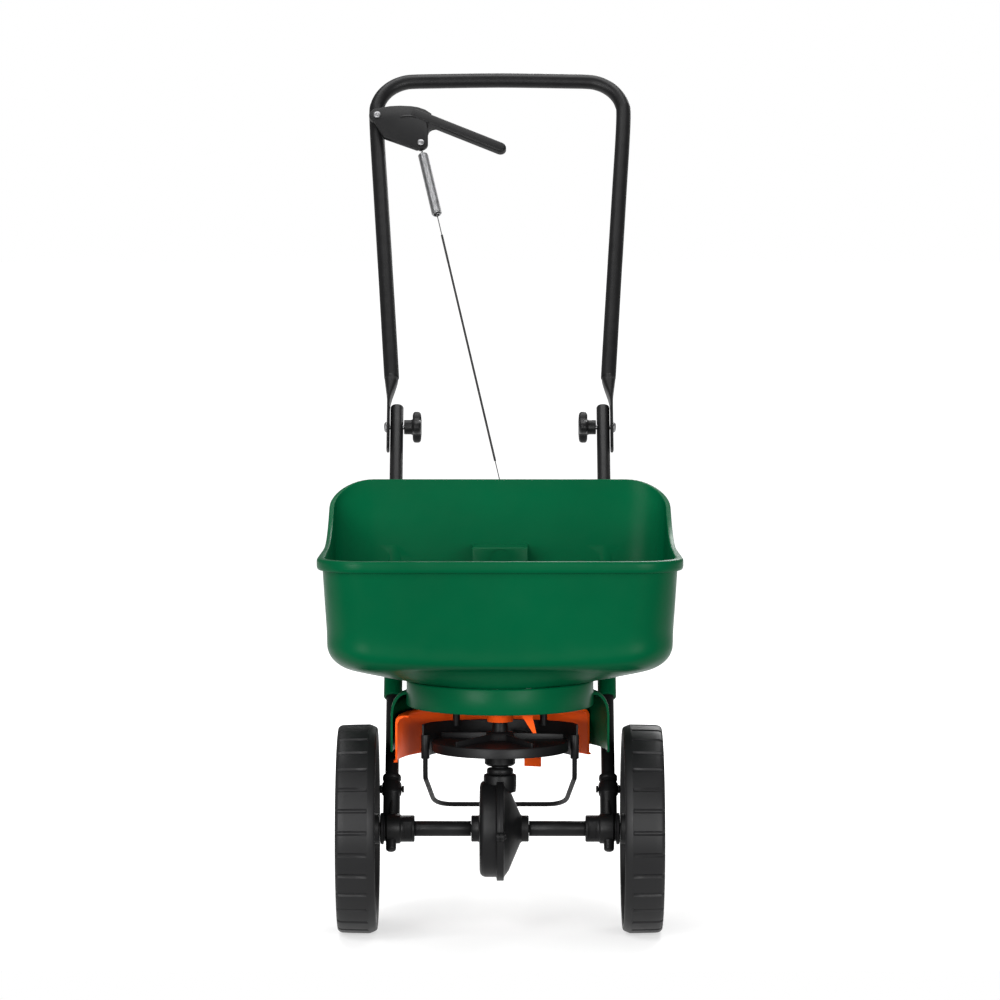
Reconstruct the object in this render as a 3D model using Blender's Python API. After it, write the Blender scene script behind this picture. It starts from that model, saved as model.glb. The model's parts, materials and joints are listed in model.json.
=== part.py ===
"""Walk-behind broadcast spreader with a folding handle, in metres, +Z up, +X to the user's left.

The ground is z = 0 under the wheels and the user stands on the +Y side. Each piece is one object. Pieces that
move have their origin on their joint's axis.
"""

from math import atan2, cos, pi, radians, sin, tau

import bmesh
import bpy
from mathutils import Matrix, Vector

GAP = 0.0003  # between solids that touch
NEWER_SOLVER = ("hopper",)  # pieces whose walls need the manifold solver

# Wheels and axle line
WHEEL_RADIUS = 0.125
WHEEL_INNER = 0.147
WHEEL_OUTER = 0.194
WHEEL_RIBS = 6
AXLE_RADIUS = 0.005
AXLE_HALF = 0.1910
HUB_END = 0.1830

# Handle line: both tubes lie in one plane that leans back through the axle
LEAN = radians(56)
TUBE_X = 0.1305
TUBE_RADIUS = 0.00825
TUBE_WALL = 0.0012
TUBE_FOOT = 0.022
TUBE_HEAD = 0.590
FOLD_S = 0.5598
HANDLE_RADIUS = 0.0096
HANDLE_TOP_S = 1.0922
HANDLE_CORNER = 0.05
HANDLE_TOP_X = 0.163
HANDLE_BOW = 0.002

# Hopper
RIM_X = 0.2075
RIM_FRONT = -0.158
RIM_REAR = 0.243
RIM_Z = 0.461
RIM_RISE = 0.067
LIP = 0.007
LIP_DEPTH = 0.0145
WALL_FOOT_X = 0.2035
WALL_FOOT_FRONT = -0.146
WALL_FOOT_REAR = 0.168
WALL_FOOT_Z = 0.366
WALL_FOOT_CORNER = 0.055
HOPPER_WALL = 0.0028
FLOOR_Z = 0.277
COLLAR_RADIUS = 0.112
COLLAR_TOP = 0.306

# Impeller and the pieces round it
IMPELLER_RADIUS = 0.082
IMPELLER_TOP = 0.2316
IMPELLER_SKIRT = 0.0117
HUB_TOP = 0.2538
SHAFT_RADIUS = 0.005
SHROUD_RADIUS = 0.131
SHROUD_BOTTOM = 0.218
SHIELD_RADIUS = 0.1255
SHIELD_BOTTOM = 0.206
DEFLECTOR_RADIUS = 0.0935
SKIN = 0.0025

# Gears: the crown on the axle drives the pinion on the upright shaft
CROWN_TEETH = 24
PINION_TEETH = 6
CROWN_PITCH = 0.041
PINION_PITCH = 0.01
TOOTH_WIDTH = 0.0026
GEARBOX_RADIUS = 0.058

# Drive pin, bolts, screws and stand
PIN_X = 0.1783
PIN_HALF = 0.0125
BOLT_S = 0.0524
TUBE_SCREW_S = 0.19
SCREW_ANGLES = (270, 150, 30)
STAND_X = 0.0895

# Shutoff: ports in the floor, and the plate that covers them
PORT_STARTS = (196, 232, 268)
PORT_SPAN = 10
SHUTOFF_TRAVEL = 11.9  # degrees of turn that bring the openings under the floor's

# Lever, cable and crank
LEVER_X = -0.1617
LEVER_S = 1.0277
LEVER_BACK = HANDLE_RADIUS + 0.0008
LEVER_PLATE = 0.0060
CABLE_PIN_X = -0.1037
CABLE_PIN_S = 0.9836
CABLE_OUT = 0.0075
FOLD_X = -0.0162
SPRING_END = 0.1113
SHEATH_TOP = 0.1400
SHEATH_RADIUS = 0.00145
WIRE_RADIUS = 0.0006
GUIDE_TOP_Z = 0.5235
GUIDE_BEND_Z = 0.494
GUIDE_FOOT_Z = 0.452
CRANK_X = 0.063
CRANK_Y = 0.2535
CRANK_Z = 0.400
SHUTOFF_PIN_X = 0.091
SHUTOFF_PIN_Y = 0.2535
CRANK_SWING = radians(25.2)  # at full squeeze; each arm's swing is centred
CABLE_GAP = 0.0028  # the two sheaths stop this far from the fold line

# Rate dial
DIAL_Y = 0.1555
DIAL_Z = 0.385

# How finely the tub's outline is divided, per corner and per side
OUTLINE_STEPS = 5
STRAIGHT_STEPS = 4

# The whole object is centred on its box, front to back
BACK = (HANDLE_TOP_S + HANDLE_BOW) * cos(LEAN) + HANDLE_RADIUS
AXLE_Y = -(BACK + RIM_FRONT - LIP) / 2
AXLE = Vector((0, AXLE_Y, WHEEL_RADIUS))
UP_TUBE = Vector((0, cos(LEAN), sin(LEAN)))
OUT_OF_PLANE = Vector((0, -sin(LEAN), cos(LEAN)))
X_AXIS = Vector((1, 0, 0))
Y_AXIS = Vector((0, 1, 0))
Z_AXIS = Vector((0, 0, 1))

GREEN = (0.004, 0.128, 0.051)
ORANGE = (0.62, 0.095, 0.022)
BLACK = (0.018, 0.018, 0.019)
STEEL = (0.55, 0.55, 0.56)


def at(x, y, z):
    """A point from its offsets to the axle's centre in x and y, and its height above the ground."""
    return Vector((x, AXLE_Y + y, z))


def on_handle(x, s, out=0.0):
    """A point in the handle's plane: x across, s up the tubes from the axle, out of the plane to the front."""
    return Vector((x, 0, 0)) + AXLE + UP_TUBE * s + OUT_OF_PLANE * out


# ---------------------------------------------------------------- modelling tools


def clear_scene():
    for old in list(bpy.data.objects):
        bpy.data.objects.remove(old, do_unlink=True)


def object_from(name, mesh_data):
    mesh_data.normal_update()
    mesh = bpy.data.meshes.new(name)
    mesh_data.to_mesh(mesh)
    mesh_data.free()
    made = bpy.data.objects.new(name, mesh)
    bpy.context.scene.collection.objects.link(made)
    return made


def loft(name, rings, ring_loop=False):
    """Joins rings of equal length. With ring_loop the last ring meets the first, and the solid is a ring."""
    work = bmesh.new()
    rows = [[work.verts.new(point) for point in ring] for ring in rings]
    count = len(rows[0])
    pairs = list(zip(rows, rows[1:]))
    if ring_loop:
        pairs.append((rows[-1], rows[0]))
    for low, high in pairs:
        for i in range(count):
            j = (i + 1) % count
            work.faces.new((low[i], low[j], high[j], high[i]))
    if not ring_loop:
        work.faces.new(rows[0][::-1])
        work.faces.new(rows[-1])
    bmesh.ops.recalc_face_normals(work, faces=work.faces)
    return object_from(name, work)


def circle(centre, radius, axis, count, start=0.0):
    """Points round an axis, counted from a side direction that is the same for equal axes."""
    side = Vector((0, -1, 0)) if abs(axis.y) < 0.9 else X_AXIS
    side = (side - axis * side.dot(axis)).normalized()
    other = axis.cross(side)
    angles = [start + tau * i / count for i in range(count)]
    return [centre + (side * cos(a) + other * sin(a)) * radius for a in angles]


def turned(name, base, axis, profile, count=20, hollow=False):
    """Turns (radius, height) points round an axis. A hollow profile is a closed outline."""
    axis = axis.normalized()
    rings = [circle(base + axis * height, radius, axis, count) for radius, height in profile]
    return loft(name, rings, ring_loop=hollow)


def rod(name, start, end, radius, count=12):
    axis = end - start
    return turned(name, start, axis, [(radius, 0), (radius, axis.length)], count)


def pipe(name, start, end, radius, inner, count=14):
    axis = end - start
    far = axis.length
    return turned(name, start, axis, [(radius, 0), (radius, far), (inner, far), (inner, 0)], count, hollow=True)


def extrusion(name, outline, offset):
    """A flat outline pushed along offset."""
    return loft(name, [outline, [point + offset for point in outline]])


def box(name, low, high):
    xs, ys, zs = zip(low, high)
    outline = [Vector((xs[i], ys[j], zs[0])) for i, j in ((0, 0), (1, 0), (1, 1), (0, 1))]
    return extrusion(name, outline, Vector((0, 0, zs[1] - zs[0])))


def swept(name, path, radii, count=10, flat=None):
    """A solid along a path. flat gives (thickness, width) half sizes where the section isn't round."""
    rings = []
    side = X_AXIS
    for i, point in enumerate(path):
        along = (path[min(i + 1, len(path) - 1)] - path[max(i - 1, 0)]).normalized()
        side = (side - along * side.dot(along)).normalized()
        other = along.cross(side)
        wide, tall = flat[i] if flat else (radii, radii)
        angles = [tau * k / count for k in range(count)]
        rings.append([point + side * (cos(a) * wide) + other * (sin(a) * tall) for a in angles])
    return loft(name, rings)


def combine(target, others, operation):
    """Boolean of the target with each other solid, which is used up. The tub's thin walls need the newer solver."""
    for other in others:
        change = target.modifiers.new(operation.lower(), "BOOLEAN")
        change.operation = operation
        change.solver = "MANIFOLD" if target.name in NEWER_SOLVER else "EXACT"
        change.object = other
        graph = bpy.context.evaluated_depsgraph_get()
        result = bpy.data.meshes.new_from_object(target.evaluated_get(graph))
        target.modifiers.clear()
        target.data = result
        bpy.data.objects.remove(other, do_unlink=True)
    return target


def joined(target, *others):
    return combine(target, others, "UNION")


def cut(target, *others):
    return combine(target, others, "DIFFERENCE")


def kept_inside(target, other):
    return combine(target, [other], "INTERSECT")


def finished(piece, colour, roughness, metallic=0.0, pivot=None):
    """Gives a piece its own material, smooth round faces, and its origin on its joint."""
    material = bpy.data.materials.new(piece.name + "_finish")
    material.use_nodes = True
    shader = material.node_tree.nodes["Principled BSDF"]
    shader.inputs["Base Color"].default_value = (*colour, 1.0)
    shader.inputs["Roughness"].default_value = roughness
    shader.inputs["Metallic"].default_value = metallic
    piece.data.materials.clear()
    piece.data.materials.append(material)
    piece.data.shade_smooth()
    piece.data.set_sharp_from_angle(angle=radians(35))
    if pivot is not None:
        piece.data.transform(Matrix.Translation(-pivot))
        piece.location = pivot
    return piece


def arc(centre_x, centre_y, radius, start, end, steps):
    """Points of a flat arc, as (x, y) pairs, with angles in degrees."""
    angles = [radians(start + (end - start) * i / steps) for i in range(steps + 1)]
    return [(centre_x + radius * cos(a), centre_y + radius * sin(a)) for a in angles]


def bevelled(piece, width, segments=2, angle=40):
    """Rounds a piece's sharp edges."""
    change = piece.modifiers.new("bevel", "BEVEL")
    change.width = width
    change.segments = segments
    change.limit_method = "ANGLE"
    change.angle_limit = radians(angle)
    graph = bpy.context.evaluated_depsgraph_get()
    result = bpy.data.meshes.new_from_object(piece.evaluated_get(graph))
    piece.modifiers.clear()
    piece.data = result
    return piece


# ---------------------------------------------------------------- hopper and housing


def rounded_outline(half_x, front, rear, radius):
    """A rounded rectangle as (x, y) pairs, the same count of points whatever its size."""
    corners = ((half_x - radius, front + radius, -90), (half_x - radius, rear - radius, 0),
               (radius - half_x, rear - radius, 90), (radius - half_x, front + radius, 180))
    points = []
    for i, (x, y, start) in enumerate(corners):
        points += arc(x, y, radius, start, start + 90, OUTLINE_STEPS)
        next_x, next_y, next_start = corners[(i + 1) % 4]
        end = arc(next_x, next_y, radius, next_start, next_start, 1)[0]
        last = points[-1]
        for k in range(1, STRAIGHT_STEPS):
            share = k / STRAIGHT_STEPS
            points.append((last[0] + (end[0] - last[0]) * share, last[1] + (end[1] - last[1]) * share))
    return points


def rim_height(y):
    """The rim is level at the front and climbs in a curve to the rear wall."""
    share = min(max((y - 0.02) / (RIM_REAR - 0.02), 0.0), 1.0)
    return RIM_Z + RIM_RISE * share**2.3


def hopper_ring(share, offset, drop=0.0):
    """A level of the tub: share 0 is the rim and 1 the foot of the walls. offset widens it."""
    top = rounded_outline(RIM_X, RIM_FRONT, RIM_REAR, 0.05)
    low = rounded_outline(WALL_FOOT_X, WALL_FOOT_FRONT, WALL_FOOT_REAR, WALL_FOOT_CORNER)
    wide = rounded_outline(RIM_X + offset, RIM_FRONT - offset, RIM_REAR + offset, 0.05 + offset)
    ring = []
    for (tx, ty), (lx, ly), (wx, wy) in zip(top, low, wide):
        z = rim_height(ty) - drop
        z += (WALL_FOOT_Z - z) * share
        ring.append(at(tx + (lx - tx) * share + wx - tx, ty + (ly - ty) * share + wy - ty, z))
    return ring


def funnel_ring(share, height, offset, radius):
    """A level of the tub's bottom, from the rounded rectangle at share 0 to a circle at share 1."""
    start = rounded_outline(WALL_FOOT_X + offset, WALL_FOOT_FRONT - offset, WALL_FOOT_REAR + offset,
                            WALL_FOOT_CORNER + offset)
    ring = []
    for x, y in start:
        along = atan2(y, x)
        ring.append(at(x + (radius * cos(along) - x) * share, y + (radius * sin(along) - y) * share, height))
    return ring


def rear_wall(z):
    """How far behind the axle the rear wall's outer face is at a height."""
    share = (z - WALL_FOOT_Z) / (RIM_Z + RIM_RISE - LIP_DEPTH - WALL_FOOT_Z)
    return WALL_FOOT_REAR + (RIM_REAR - WALL_FOOT_REAR) * share


def make_hopper():
    outer_lip = [(0.0, LIP_DEPTH), (LIP * 0.75, 0.0135), (LIP, 0.0085), (LIP, 0.004), (LIP * 0.7, 0.0)]
    rings = [hopper_ring(0, offset, drop) for offset, drop in reversed(outer_lip)]
    rings.append(hopper_ring(1, 0))
    outer_floor = ((0.03, 0.350), (0.10, 0.337), (0.22, 0.329), (0.5, 0.320), (0.8, 0.311), (1.0, 0.3065))
    rings += [funnel_ring(share, height, 0, COLLAR_RADIUS - 0.003) for share, height in outer_floor]
    inner_floor = ((1.0, 0.3065), (0.97, 0.3100), (0.8, 0.3145), (0.5, 0.3235), (0.22, 0.3325), (0.10, 0.3405),
                   (0.04, 0.3525))
    rings += [funnel_ring(share, height, -HOPPER_WALL, COLLAR_RADIUS - 0.006) for share, height in inner_floor]
    rings.append(hopper_ring(1, -HOPPER_WALL))
    rings.append(hopper_ring(0, -HOPPER_WALL, 0.0012))
    rings.append(hopper_ring(0, -HOPPER_WALL * 0.4, 0.0))
    hopper = loft("hopper", rings, ring_loop=True)

    envelope_rings = [hopper_ring(0, -0.0015, 0.02)]
    envelope_rings.append(hopper_ring(1, -0.0012))
    envelope_rings += [funnel_ring(s, h + 0.0008, -0.0008, COLLAR_RADIUS - 0.0045) for s, h in outer_floor]
    for side in (-1, 1):
        envelope = loft("envelope", envelope_rings)
        x = side * TUBE_X
        channel = rod("channel_wall", on_handle(x, 0.2), on_handle(x, 0.5), TUBE_RADIUS + 0.0036, 12)
        joined(hopper, kept_inside(channel, envelope))
        joined(hopper, rod("socket", on_handle(x, 0.1765), on_handle(x, 0.262), 0.0114, 12))
    pocket = box("pocket_wall", at(-0.0346, DIAL_Y - 0.0055, 0.335), at(0.0346, 0.24, 0.45))
    joined(hopper, kept_inside(pocket, loft("envelope", envelope_rings)))
    for side in (-1, 1):
        x = side * TUBE_X
        cut(hopper, rod("tube_bore", on_handle(x, 0.16), on_handle(x, 0.52), TUBE_RADIUS + 0.0004, 12))
    cut(hopper, box("pocket", at(-0.0316, DIAL_Y - 0.0025, 0.33), at(0.0316, 0.26, 0.447)))
    boss_end = circle(at(CRANK_X, CRANK_Y - 0.004, CRANK_Z), 0.008, Y_AXIS, 12)
    boss_root = [Vector((p.x, AXLE_Y + rear_wall(p.z) - HOPPER_WALL / 2, p.z)) for p in boss_end]
    joined(hopper, loft("crank_boss", [boss_root, boss_end]))
    cut(hopper, rod("screw_hole", at(CRANK_X, 0.222, CRANK_Z), at(CRANK_X, CRANK_Y, CRANK_Z), 0.0025, 8))
    return finished(hopper, GREEN, 0.32)


def sector(name, low, high, start, end):
    """A wedge about the impeller's axis between two heights, to keep part of a turned shape."""
    reach = 0.3
    steps = 8
    outline = [at(0, 0, low)]
    outline += [at(x, y, low) for x, y in arc(0, 0, reach, start, end, steps)]
    return extrusion(name, outline, Z_AXIS * (high - low))


def port_cutter(start, end, low, high):
    """An arc-shaped slot about the impeller's axis."""
    points = arc(0, 0, 0.052, start, end, 3) + arc(0, 0, 0.026, end, start, 3)
    return extrusion("port", [at(x, y, low) for x, y in points], Z_AXIS * (high - low))


def make_impeller_housing():
    """The round collar with the hopper's floor, and the shroud behind the impeller, moulded as one."""
    floor = FLOOR_Z
    profile = [(0.0075, floor), (COLLAR_RADIUS - 0.0006, floor - 0.002), (COLLAR_RADIUS, floor + 0.001),
               (COLLAR_RADIUS, COLLAR_TOP - 0.002), (COLLAR_RADIUS - 0.001, COLLAR_TOP),
               (COLLAR_RADIUS - 0.004, COLLAR_TOP), (COLLAR_RADIUS - 0.004, floor + 0.004), (0.0075, floor + 0.003)]
    housing = turned("impeller_housing", at(0, 0, 0), Z_AXIS, profile, 30, hollow=True)
    shoulder = [(COLLAR_RADIUS - 0.002, 0.291), (0.1195, 0.2885), (0.1262, 0.282), (0.1298, 0.273),
                (SHROUD_RADIUS, 0.262), (SHROUD_RADIUS, SHROUD_BOTTOM), (SHROUD_RADIUS - SKIN, SHROUD_BOTTOM),
                (SHROUD_RADIUS - SKIN, 0.262), (0.1272, 0.2715), (0.1238, 0.2795), (0.1185, 0.2855),
                (COLLAR_RADIUS - 0.002, 0.287)]
    shroud = turned("shroud", at(0, 0, 0), Z_AXIS, shoulder, 30, hollow=True)
    joined(housing, kept_inside(shroud, sector("rear_half", 0.15, 0.35, -2, 182)))
    cut(housing, *[port_cutter(start, start + PORT_SPAN, 0.26, 0.29) for start in PORT_STARTS])
    arm_slot = box("arm_slot", at(-0.005, 0.1135, 0.2642), at(0.070, 0.15, 0.2748))
    cut(housing, arm_slot)
    return finished(housing, GREEN, 0.34)


def make_shutoff_plate():
    """The plate under the floor, which opens the ports as it turns, with its arm to the rear and its finger."""
    top = FLOOR_Z - 0.0028
    plate = turned("shutoff_plate", at(0, 0, 0), Z_AXIS,
                   [(0.0085, top - 0.003), (0.064, top - 0.003), (0.064, top), (0.0085, top)], 22, hollow=True)
    hub = turned("hub", at(0, 0, 0), Z_AXIS,
                 [(0.0085, top - 0.0195), (0.0155, top - 0.0195), (0.018, top - 0.002), (0.0085, top - 0.002)],
                 28, hollow=True)
    arm_end = at(SHUTOFF_PIN_X, SHUTOFF_PIN_Y, 0)
    arm_root = at(0.012, 0.04, 0)
    along = (arm_end - arm_root).normalized()
    across = Z_AXIS.cross(along) * 0.007
    low = Vector((0, 0, top - 0.004))
    arm = extrusion("arm", [arm_root - across * 1.5 + low, arm_end + along * 0.009 - across + low,
                            arm_end + along * 0.009 + across + low, arm_root + across * 1.5 + low], Z_AXIS * 0.0038)
    finger = loft("finger", [
        [at(0.022, -0.052, top - 0.001), at(0.037, -0.052, top - 0.001), at(0.037, -0.046, top - 0.001),
         at(0.022, -0.046, top - 0.001)],
        [at(0.0390, -0.053, top - 0.027), at(0.0430, -0.053, top - 0.027), at(0.0430, -0.049, top - 0.027),
         at(0.0390, -0.049, top - 0.027)]])
    joined(plate, hub, arm, finger)
    starts = [start - SHUTOFF_TRAVEL for start in PORT_STARTS]
    cut(plate, *[port_cutter(start, start + PORT_SPAN, 0.26, 0.28) for start in starts])
    outward = (arm_end - at(0, 0, 0)).normalized()
    slot_start, slot_end = arm_end - outward * 0.0190 + low, arm_end + outward * 0.0045 + low
    slot_side = Z_AXIS.cross(outward) * 0.0036
    slot = extrusion("pin_slot", [slot_start - slot_side, slot_end - slot_side, slot_end + slot_side,
                                  slot_start + slot_side], Z_AXIS * 0.012)
    slot.data.transform(Matrix.Translation(Z_AXIS * -0.004))
    cut(plate, slot)
    return finished(plate, ORANGE, 0.42, pivot=at(0, 0, 0.27))


def make_edge_shield():
    """The curved slider that blocks one side of the throw, with its finger tab."""
    top = 0.2625
    lip = SHIELD_RADIUS + 0.0022
    profile = [(SHIELD_RADIUS - SKIN, SHIELD_BOTTOM), (lip, SHIELD_BOTTOM), (lip, SHIELD_BOTTOM + 0.0020),
               (SHIELD_RADIUS, SHIELD_BOTTOM + 0.0024), (SHIELD_RADIUS, top - 0.008),
               (SHIELD_RADIUS - 0.003, top - 0.002), (SHIELD_RADIUS - 0.010, top), (SHIELD_RADIUS - 0.016, top),
               (SHIELD_RADIUS - 0.016, top - SKIN), (SHIELD_RADIUS - 0.010, top - SKIN),
               (SHIELD_RADIUS - 0.005, top - 0.005), (SHIELD_RADIUS - SKIN, top - 0.010)]
    shield = turned("edge_shield", at(0, 0, 0), Z_AXIS, profile, 30, hollow=True)
    kept_inside(shield, sector("span", 0.15, 0.35, 30, 184))
    tab_points = arc(0, 0, SHIELD_RADIUS - 0.0005, 66, 76, 3) + arc(0, 0, SHIELD_RADIUS - 0.0035, 76, 66, 3)
    tab = extrusion("tab", [at(x, y, 0.184) for x, y in tab_points], Z_AXIS * 0.03)
    joined(shield, tab)
    return finished(shield, ORANGE, 0.42, pivot=at(0, 0, 0.234))


def make_rear_deflector():
    """The black wall behind the impeller, hung from the housing's floor, with the stand's two sleeves."""
    outer, inner = DEFLECTOR_RADIUS, DEFLECTOR_RADIUS - SKIN
    wall = turned("rear_deflector", at(0, 0, 0), Z_AXIS,
                  [(inner, 0.197), (outer, 0.197), (outer, 0.2505), (inner, 0.2505)], 26, hollow=True)
    kept_inside(wall, sector("rear_half", 0.15, 0.35, 0, 180))
    for angle in (55, 125):
        x, y = arc(0, 0, DEFLECTOR_RADIUS - SKIN / 2, angle, angle, 1)[0]
        joined(wall, rod("post", at(x, y, 0.24), at(x, y, 0.2742), 0.0045, 8))
    for side in (-1, 1):
        joined(wall, rod("sleeve", at(side * STAND_X, 0.004, 0.2), at(side * STAND_X, 0.004, 0.238), 0.0052, 10))
    for side in (-1, 1):
        bore = rod("sleeve_bore", at(side * STAND_X, 0.004, 0.19), at(side * STAND_X, 0.004, 0.234), 0.0033, 8)
        cut(wall, bore)
    return finished(wall, BLACK, 0.5)


# ---------------------------------------------------------------- impeller and drive


def make_impeller():
    top, radius = IMPELLER_TOP, IMPELLER_RADIUS
    low = top - IMPELLER_SKIRT
    profile = [(SHAFT_RADIUS + GAP, 0.2015), (0.016, 0.2015), (0.0186, 0.204), (0.0186, 0.2095), (0.020, 0.2285),
               (radius - 0.003, 0.2285), (radius - 0.0022, low), (radius, low), (radius, top - 0.001),
               (radius - 0.001, top), (0.020, top + 0.0012), (0.0165, top + 0.010), (0.0095, top + 0.0115),
               (0.0090, HUB_TOP), (SHAFT_RADIUS + GAP, HUB_TOP)]
    impeller = turned("impeller", at(0, 0, 0), Z_AXIS, profile, 26, hollow=True)
    for i in range(5):
        turn = Matrix.Rotation(tau * i / 5 + 0.2, 4, "Z")
        inner, outer, half = 0.014, 0.0775, 0.0011
        foot = top - 0.0012
        outline = [Vector((inner, -half, foot)), Vector((outer, -half, foot)), Vector((outer, -half, top + 0.0055)),
                   Vector((inner, -half, top + 0.0090))]
        outline = [turn @ point + Vector((0, AXLE_Y, 0)) for point in outline]
        joined(impeller, extrusion("vane", outline, turn.to_3x3() @ Vector((0, 2 * half, 0))))
    return finished(impeller, BLACK, 0.42, pivot=at(0, 0, 0.225))


def make_impeller_shaft():
    shaft = turned("impeller_shaft", at(0, 0, 0), Z_AXIS,
                   [(SHAFT_RADIUS, 0.1555), (SHAFT_RADIUS, 0.3035), (SHAFT_RADIUS - 0.001, 0.3045)], 12)
    return finished(shaft, STEEL, 0.3, 1.0, pivot=at(0, 0, 0.225))


def make_shaft_bush():
    bore = SHAFT_RADIUS + GAP
    bush = turned("shaft_bush", at(0, 0, 0), Z_AXIS,
                  [(bore, 0.1913), (0.0145, 0.1913), (0.016, 0.1925), (0.016, 0.1965), (0.0145, 0.1985),
                   (0.0100, 0.1992), (0.0100, 0.2012), (bore, 0.2012)], 14, hollow=True)
    return finished(bush, BLACK, 0.45)


def gear_outline(teeth, root, tip, base_half, tip_half, centre):
    points = []
    for i in range(teeth):
        middle = tau * i / teeth
        for radius, half in ((root, -base_half), (tip, -tip_half), (tip, tip_half), (root, base_half)):
            angle = middle + half / radius
            points.append(centre + Vector((radius * cos(angle), radius * sin(angle), 0)))
    return points


def make_pinion():
    low, high = WHEEL_RADIUS + CROWN_PITCH - 0.006, WHEEL_RADIUS + CROWN_PITCH + 0.006
    toothed = gear_outline(PINION_TEETH, PINION_PITCH - 0.0021, PINION_PITCH + 0.0016, TOOTH_WIDTH * 0.55,
                           TOOTH_WIDTH * 0.36, at(0, 0, low))
    bore = [at(0, 0, low) + (point - at(0, 0, low)).normalized() * (SHAFT_RADIUS + 2 * GAP) for point in toothed]
    rise = Z_AXIS * (high - low)
    rings = [toothed, [p + rise for p in toothed], [p + rise for p in bore], bore]
    pinion = loft("pinion", rings, ring_loop=True)
    return finished(pinion, STEEL, 0.35, 1.0, pivot=at(0, 0, 0.225))


def make_crown_gear():
    """A face gear: a disc on the axle whose teeth point along +X, half a pitch off the pinion's tooth."""
    face = -(PINION_PITCH + 0.0016) - 0.0008
    tip = -(PINION_PITCH - 0.0021) - 0.0006
    back = face - 0.0035
    bore, inner, outer = AXLE_RADIUS + GAP, CROWN_PITCH - 0.0055, CROWN_PITCH + 0.0055
    pitch = tau / CROWN_TEETH
    half = TOOTH_WIDTH / 2 / CROWN_PITCH
    rings = []
    for i in range(CROWN_TEETH):
        middle = (i + 0.5) * pitch
        for angle, height in ((-half * 1.25, face + 0.0001), (-half * 0.75, tip), (half * 0.75, tip),
                              (half * 1.25, face + 0.0001)):
            turn = middle + angle
            out = Vector((0, -sin(turn), cos(turn)))
            profile = ((bore, back), (outer, back), (outer, height), (inner, height), (inner, face), (bore, face))
            rings.append([AXLE + out * radius + X_AXIS * x for radius, x in profile])
    crown = loft("crown_gear", rings, ring_loop=True)
    return finished(crown, (0.62, 0.61, 0.57), 0.4, pivot=AXLE)


def make_gearbox_housing():
    """The drum half of the gearbox, with the tower that holds the upright shaft."""
    radius = GEARBOX_RADIUS
    solid = [(0.0155, -0.0345), (0.0158, -0.034), (0.0158, -0.0250), (radius - 0.006, -0.0245),
             (radius - 0.0015, -0.0225), (radius, -0.018), (radius, -0.0045), (0.0625, -0.004), (0.0625, -0.0002)]
    housing = turned("gearbox_housing", AXLE, X_AXIS, solid, 30)
    tower = turned("tower", at(0, 0, 0), Z_AXIS, [(0.0198, 0.166), (0.0198, 0.1895), (0.0186, 0.1908)], 16)
    joined(housing, tower)
    hollow = turned("hollow", AXLE, X_AXIS, [(radius - SKIN, -0.0205), (radius - SKIN, 0.03)], 30)
    tower_hollow = rod("tower_hollow", at(0, 0, 0.14), at(0, 0, 0.1765), 0.0137, 12)
    shaft_bore = rod("shaft_bore", at(0, 0, 0.17), at(0, 0, 0.2), SHAFT_RADIUS + GAP, 12)
    cut(housing, hollow, tower_hollow, shaft_bore)
    axle_bore = rod("axle_bore", at(-0.06, 0, WHEEL_RADIUS), at(0.01, 0, WHEEL_RADIUS), AXLE_RADIUS + GAP, 12)
    cut(housing, axle_bore)
    for angle in SCREW_ANGLES:
        joined(housing, rod("ear", *screw_line(angle, -0.0040, -0.0002), 0.0052, 12))
        cut(housing, rod("screw_hole", *screw_line(angle, -0.02, 0.02), 0.0020, 8))
    return finished(housing, BLACK, 0.4)


def screw_line(angle, start, end):
    """The two ends of a gearbox screw's line, through the flange's rim."""
    y, z = arc(0, 0, 0.0655, angle - 90, angle - 90, 1)[0]
    return [AXLE + Vector((start, y, z)), AXLE + Vector((end, y, z))]


def make_gearbox_cover():
    """The cone half of the gearbox."""
    radius = GEARBOX_RADIUS
    solid = [(0.0625, 0.0002), (0.0625, 0.0045), (radius, 0.005), (0.0500, 0.0105), (0.0300, 0.0190),
             (0.0180, 0.0245), (0.0158, 0.0250), (0.0158, 0.034), (0.0155, 0.0345)]
    cover = turned("gearbox_cover", AXLE, X_AXIS, solid, 30)
    cavity = [(radius - SKIN, -0.01), (radius - SKIN, 0.004), (0.0475, 0.0085), (0.0280, 0.0165), (0.0120, 0.021)]
    cut(cover, turned("hollow", AXLE, X_AXIS, cavity, 30))
    cut(cover, rod("axle_bore", at(0.01, 0, WHEEL_RADIUS), at(0.06, 0, WHEEL_RADIUS), AXLE_RADIUS + GAP, 12))
    cut(cover, rod("tower_room", at(0, 0, 0.14), at(0, 0, 0.22), 0.0198 + GAP, 16))
    for angle in SCREW_ANGLES:
        joined(cover, rod("ear", *screw_line(angle, 0.0002, 0.0045), 0.0052, 12))
        cut(cover, rod("screw_hole", *screw_line(angle, -0.02, 0.02), 0.0020, 8))
    return finished(cover, BLACK, 0.38)


def make_gearbox_screws():
    for number, angle in enumerate(SCREW_ANGLES, 1):
        start, end = screw_line(angle, -0.0035, 0.0050)
        axis = (end - start).normalized()
        screw = turned(f"gearbox_screw_{number}", start, axis,
                       [(0.0016, 0), (0.0016, 0.0083), (0.0032, 0.0083), (0.0032, 0.0098), (0.0022, 0.0108)], 8)
        finished(screw, STEEL, 0.35, 1.0)


# ---------------------------------------------------------------- axle, brackets and wheels


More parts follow.
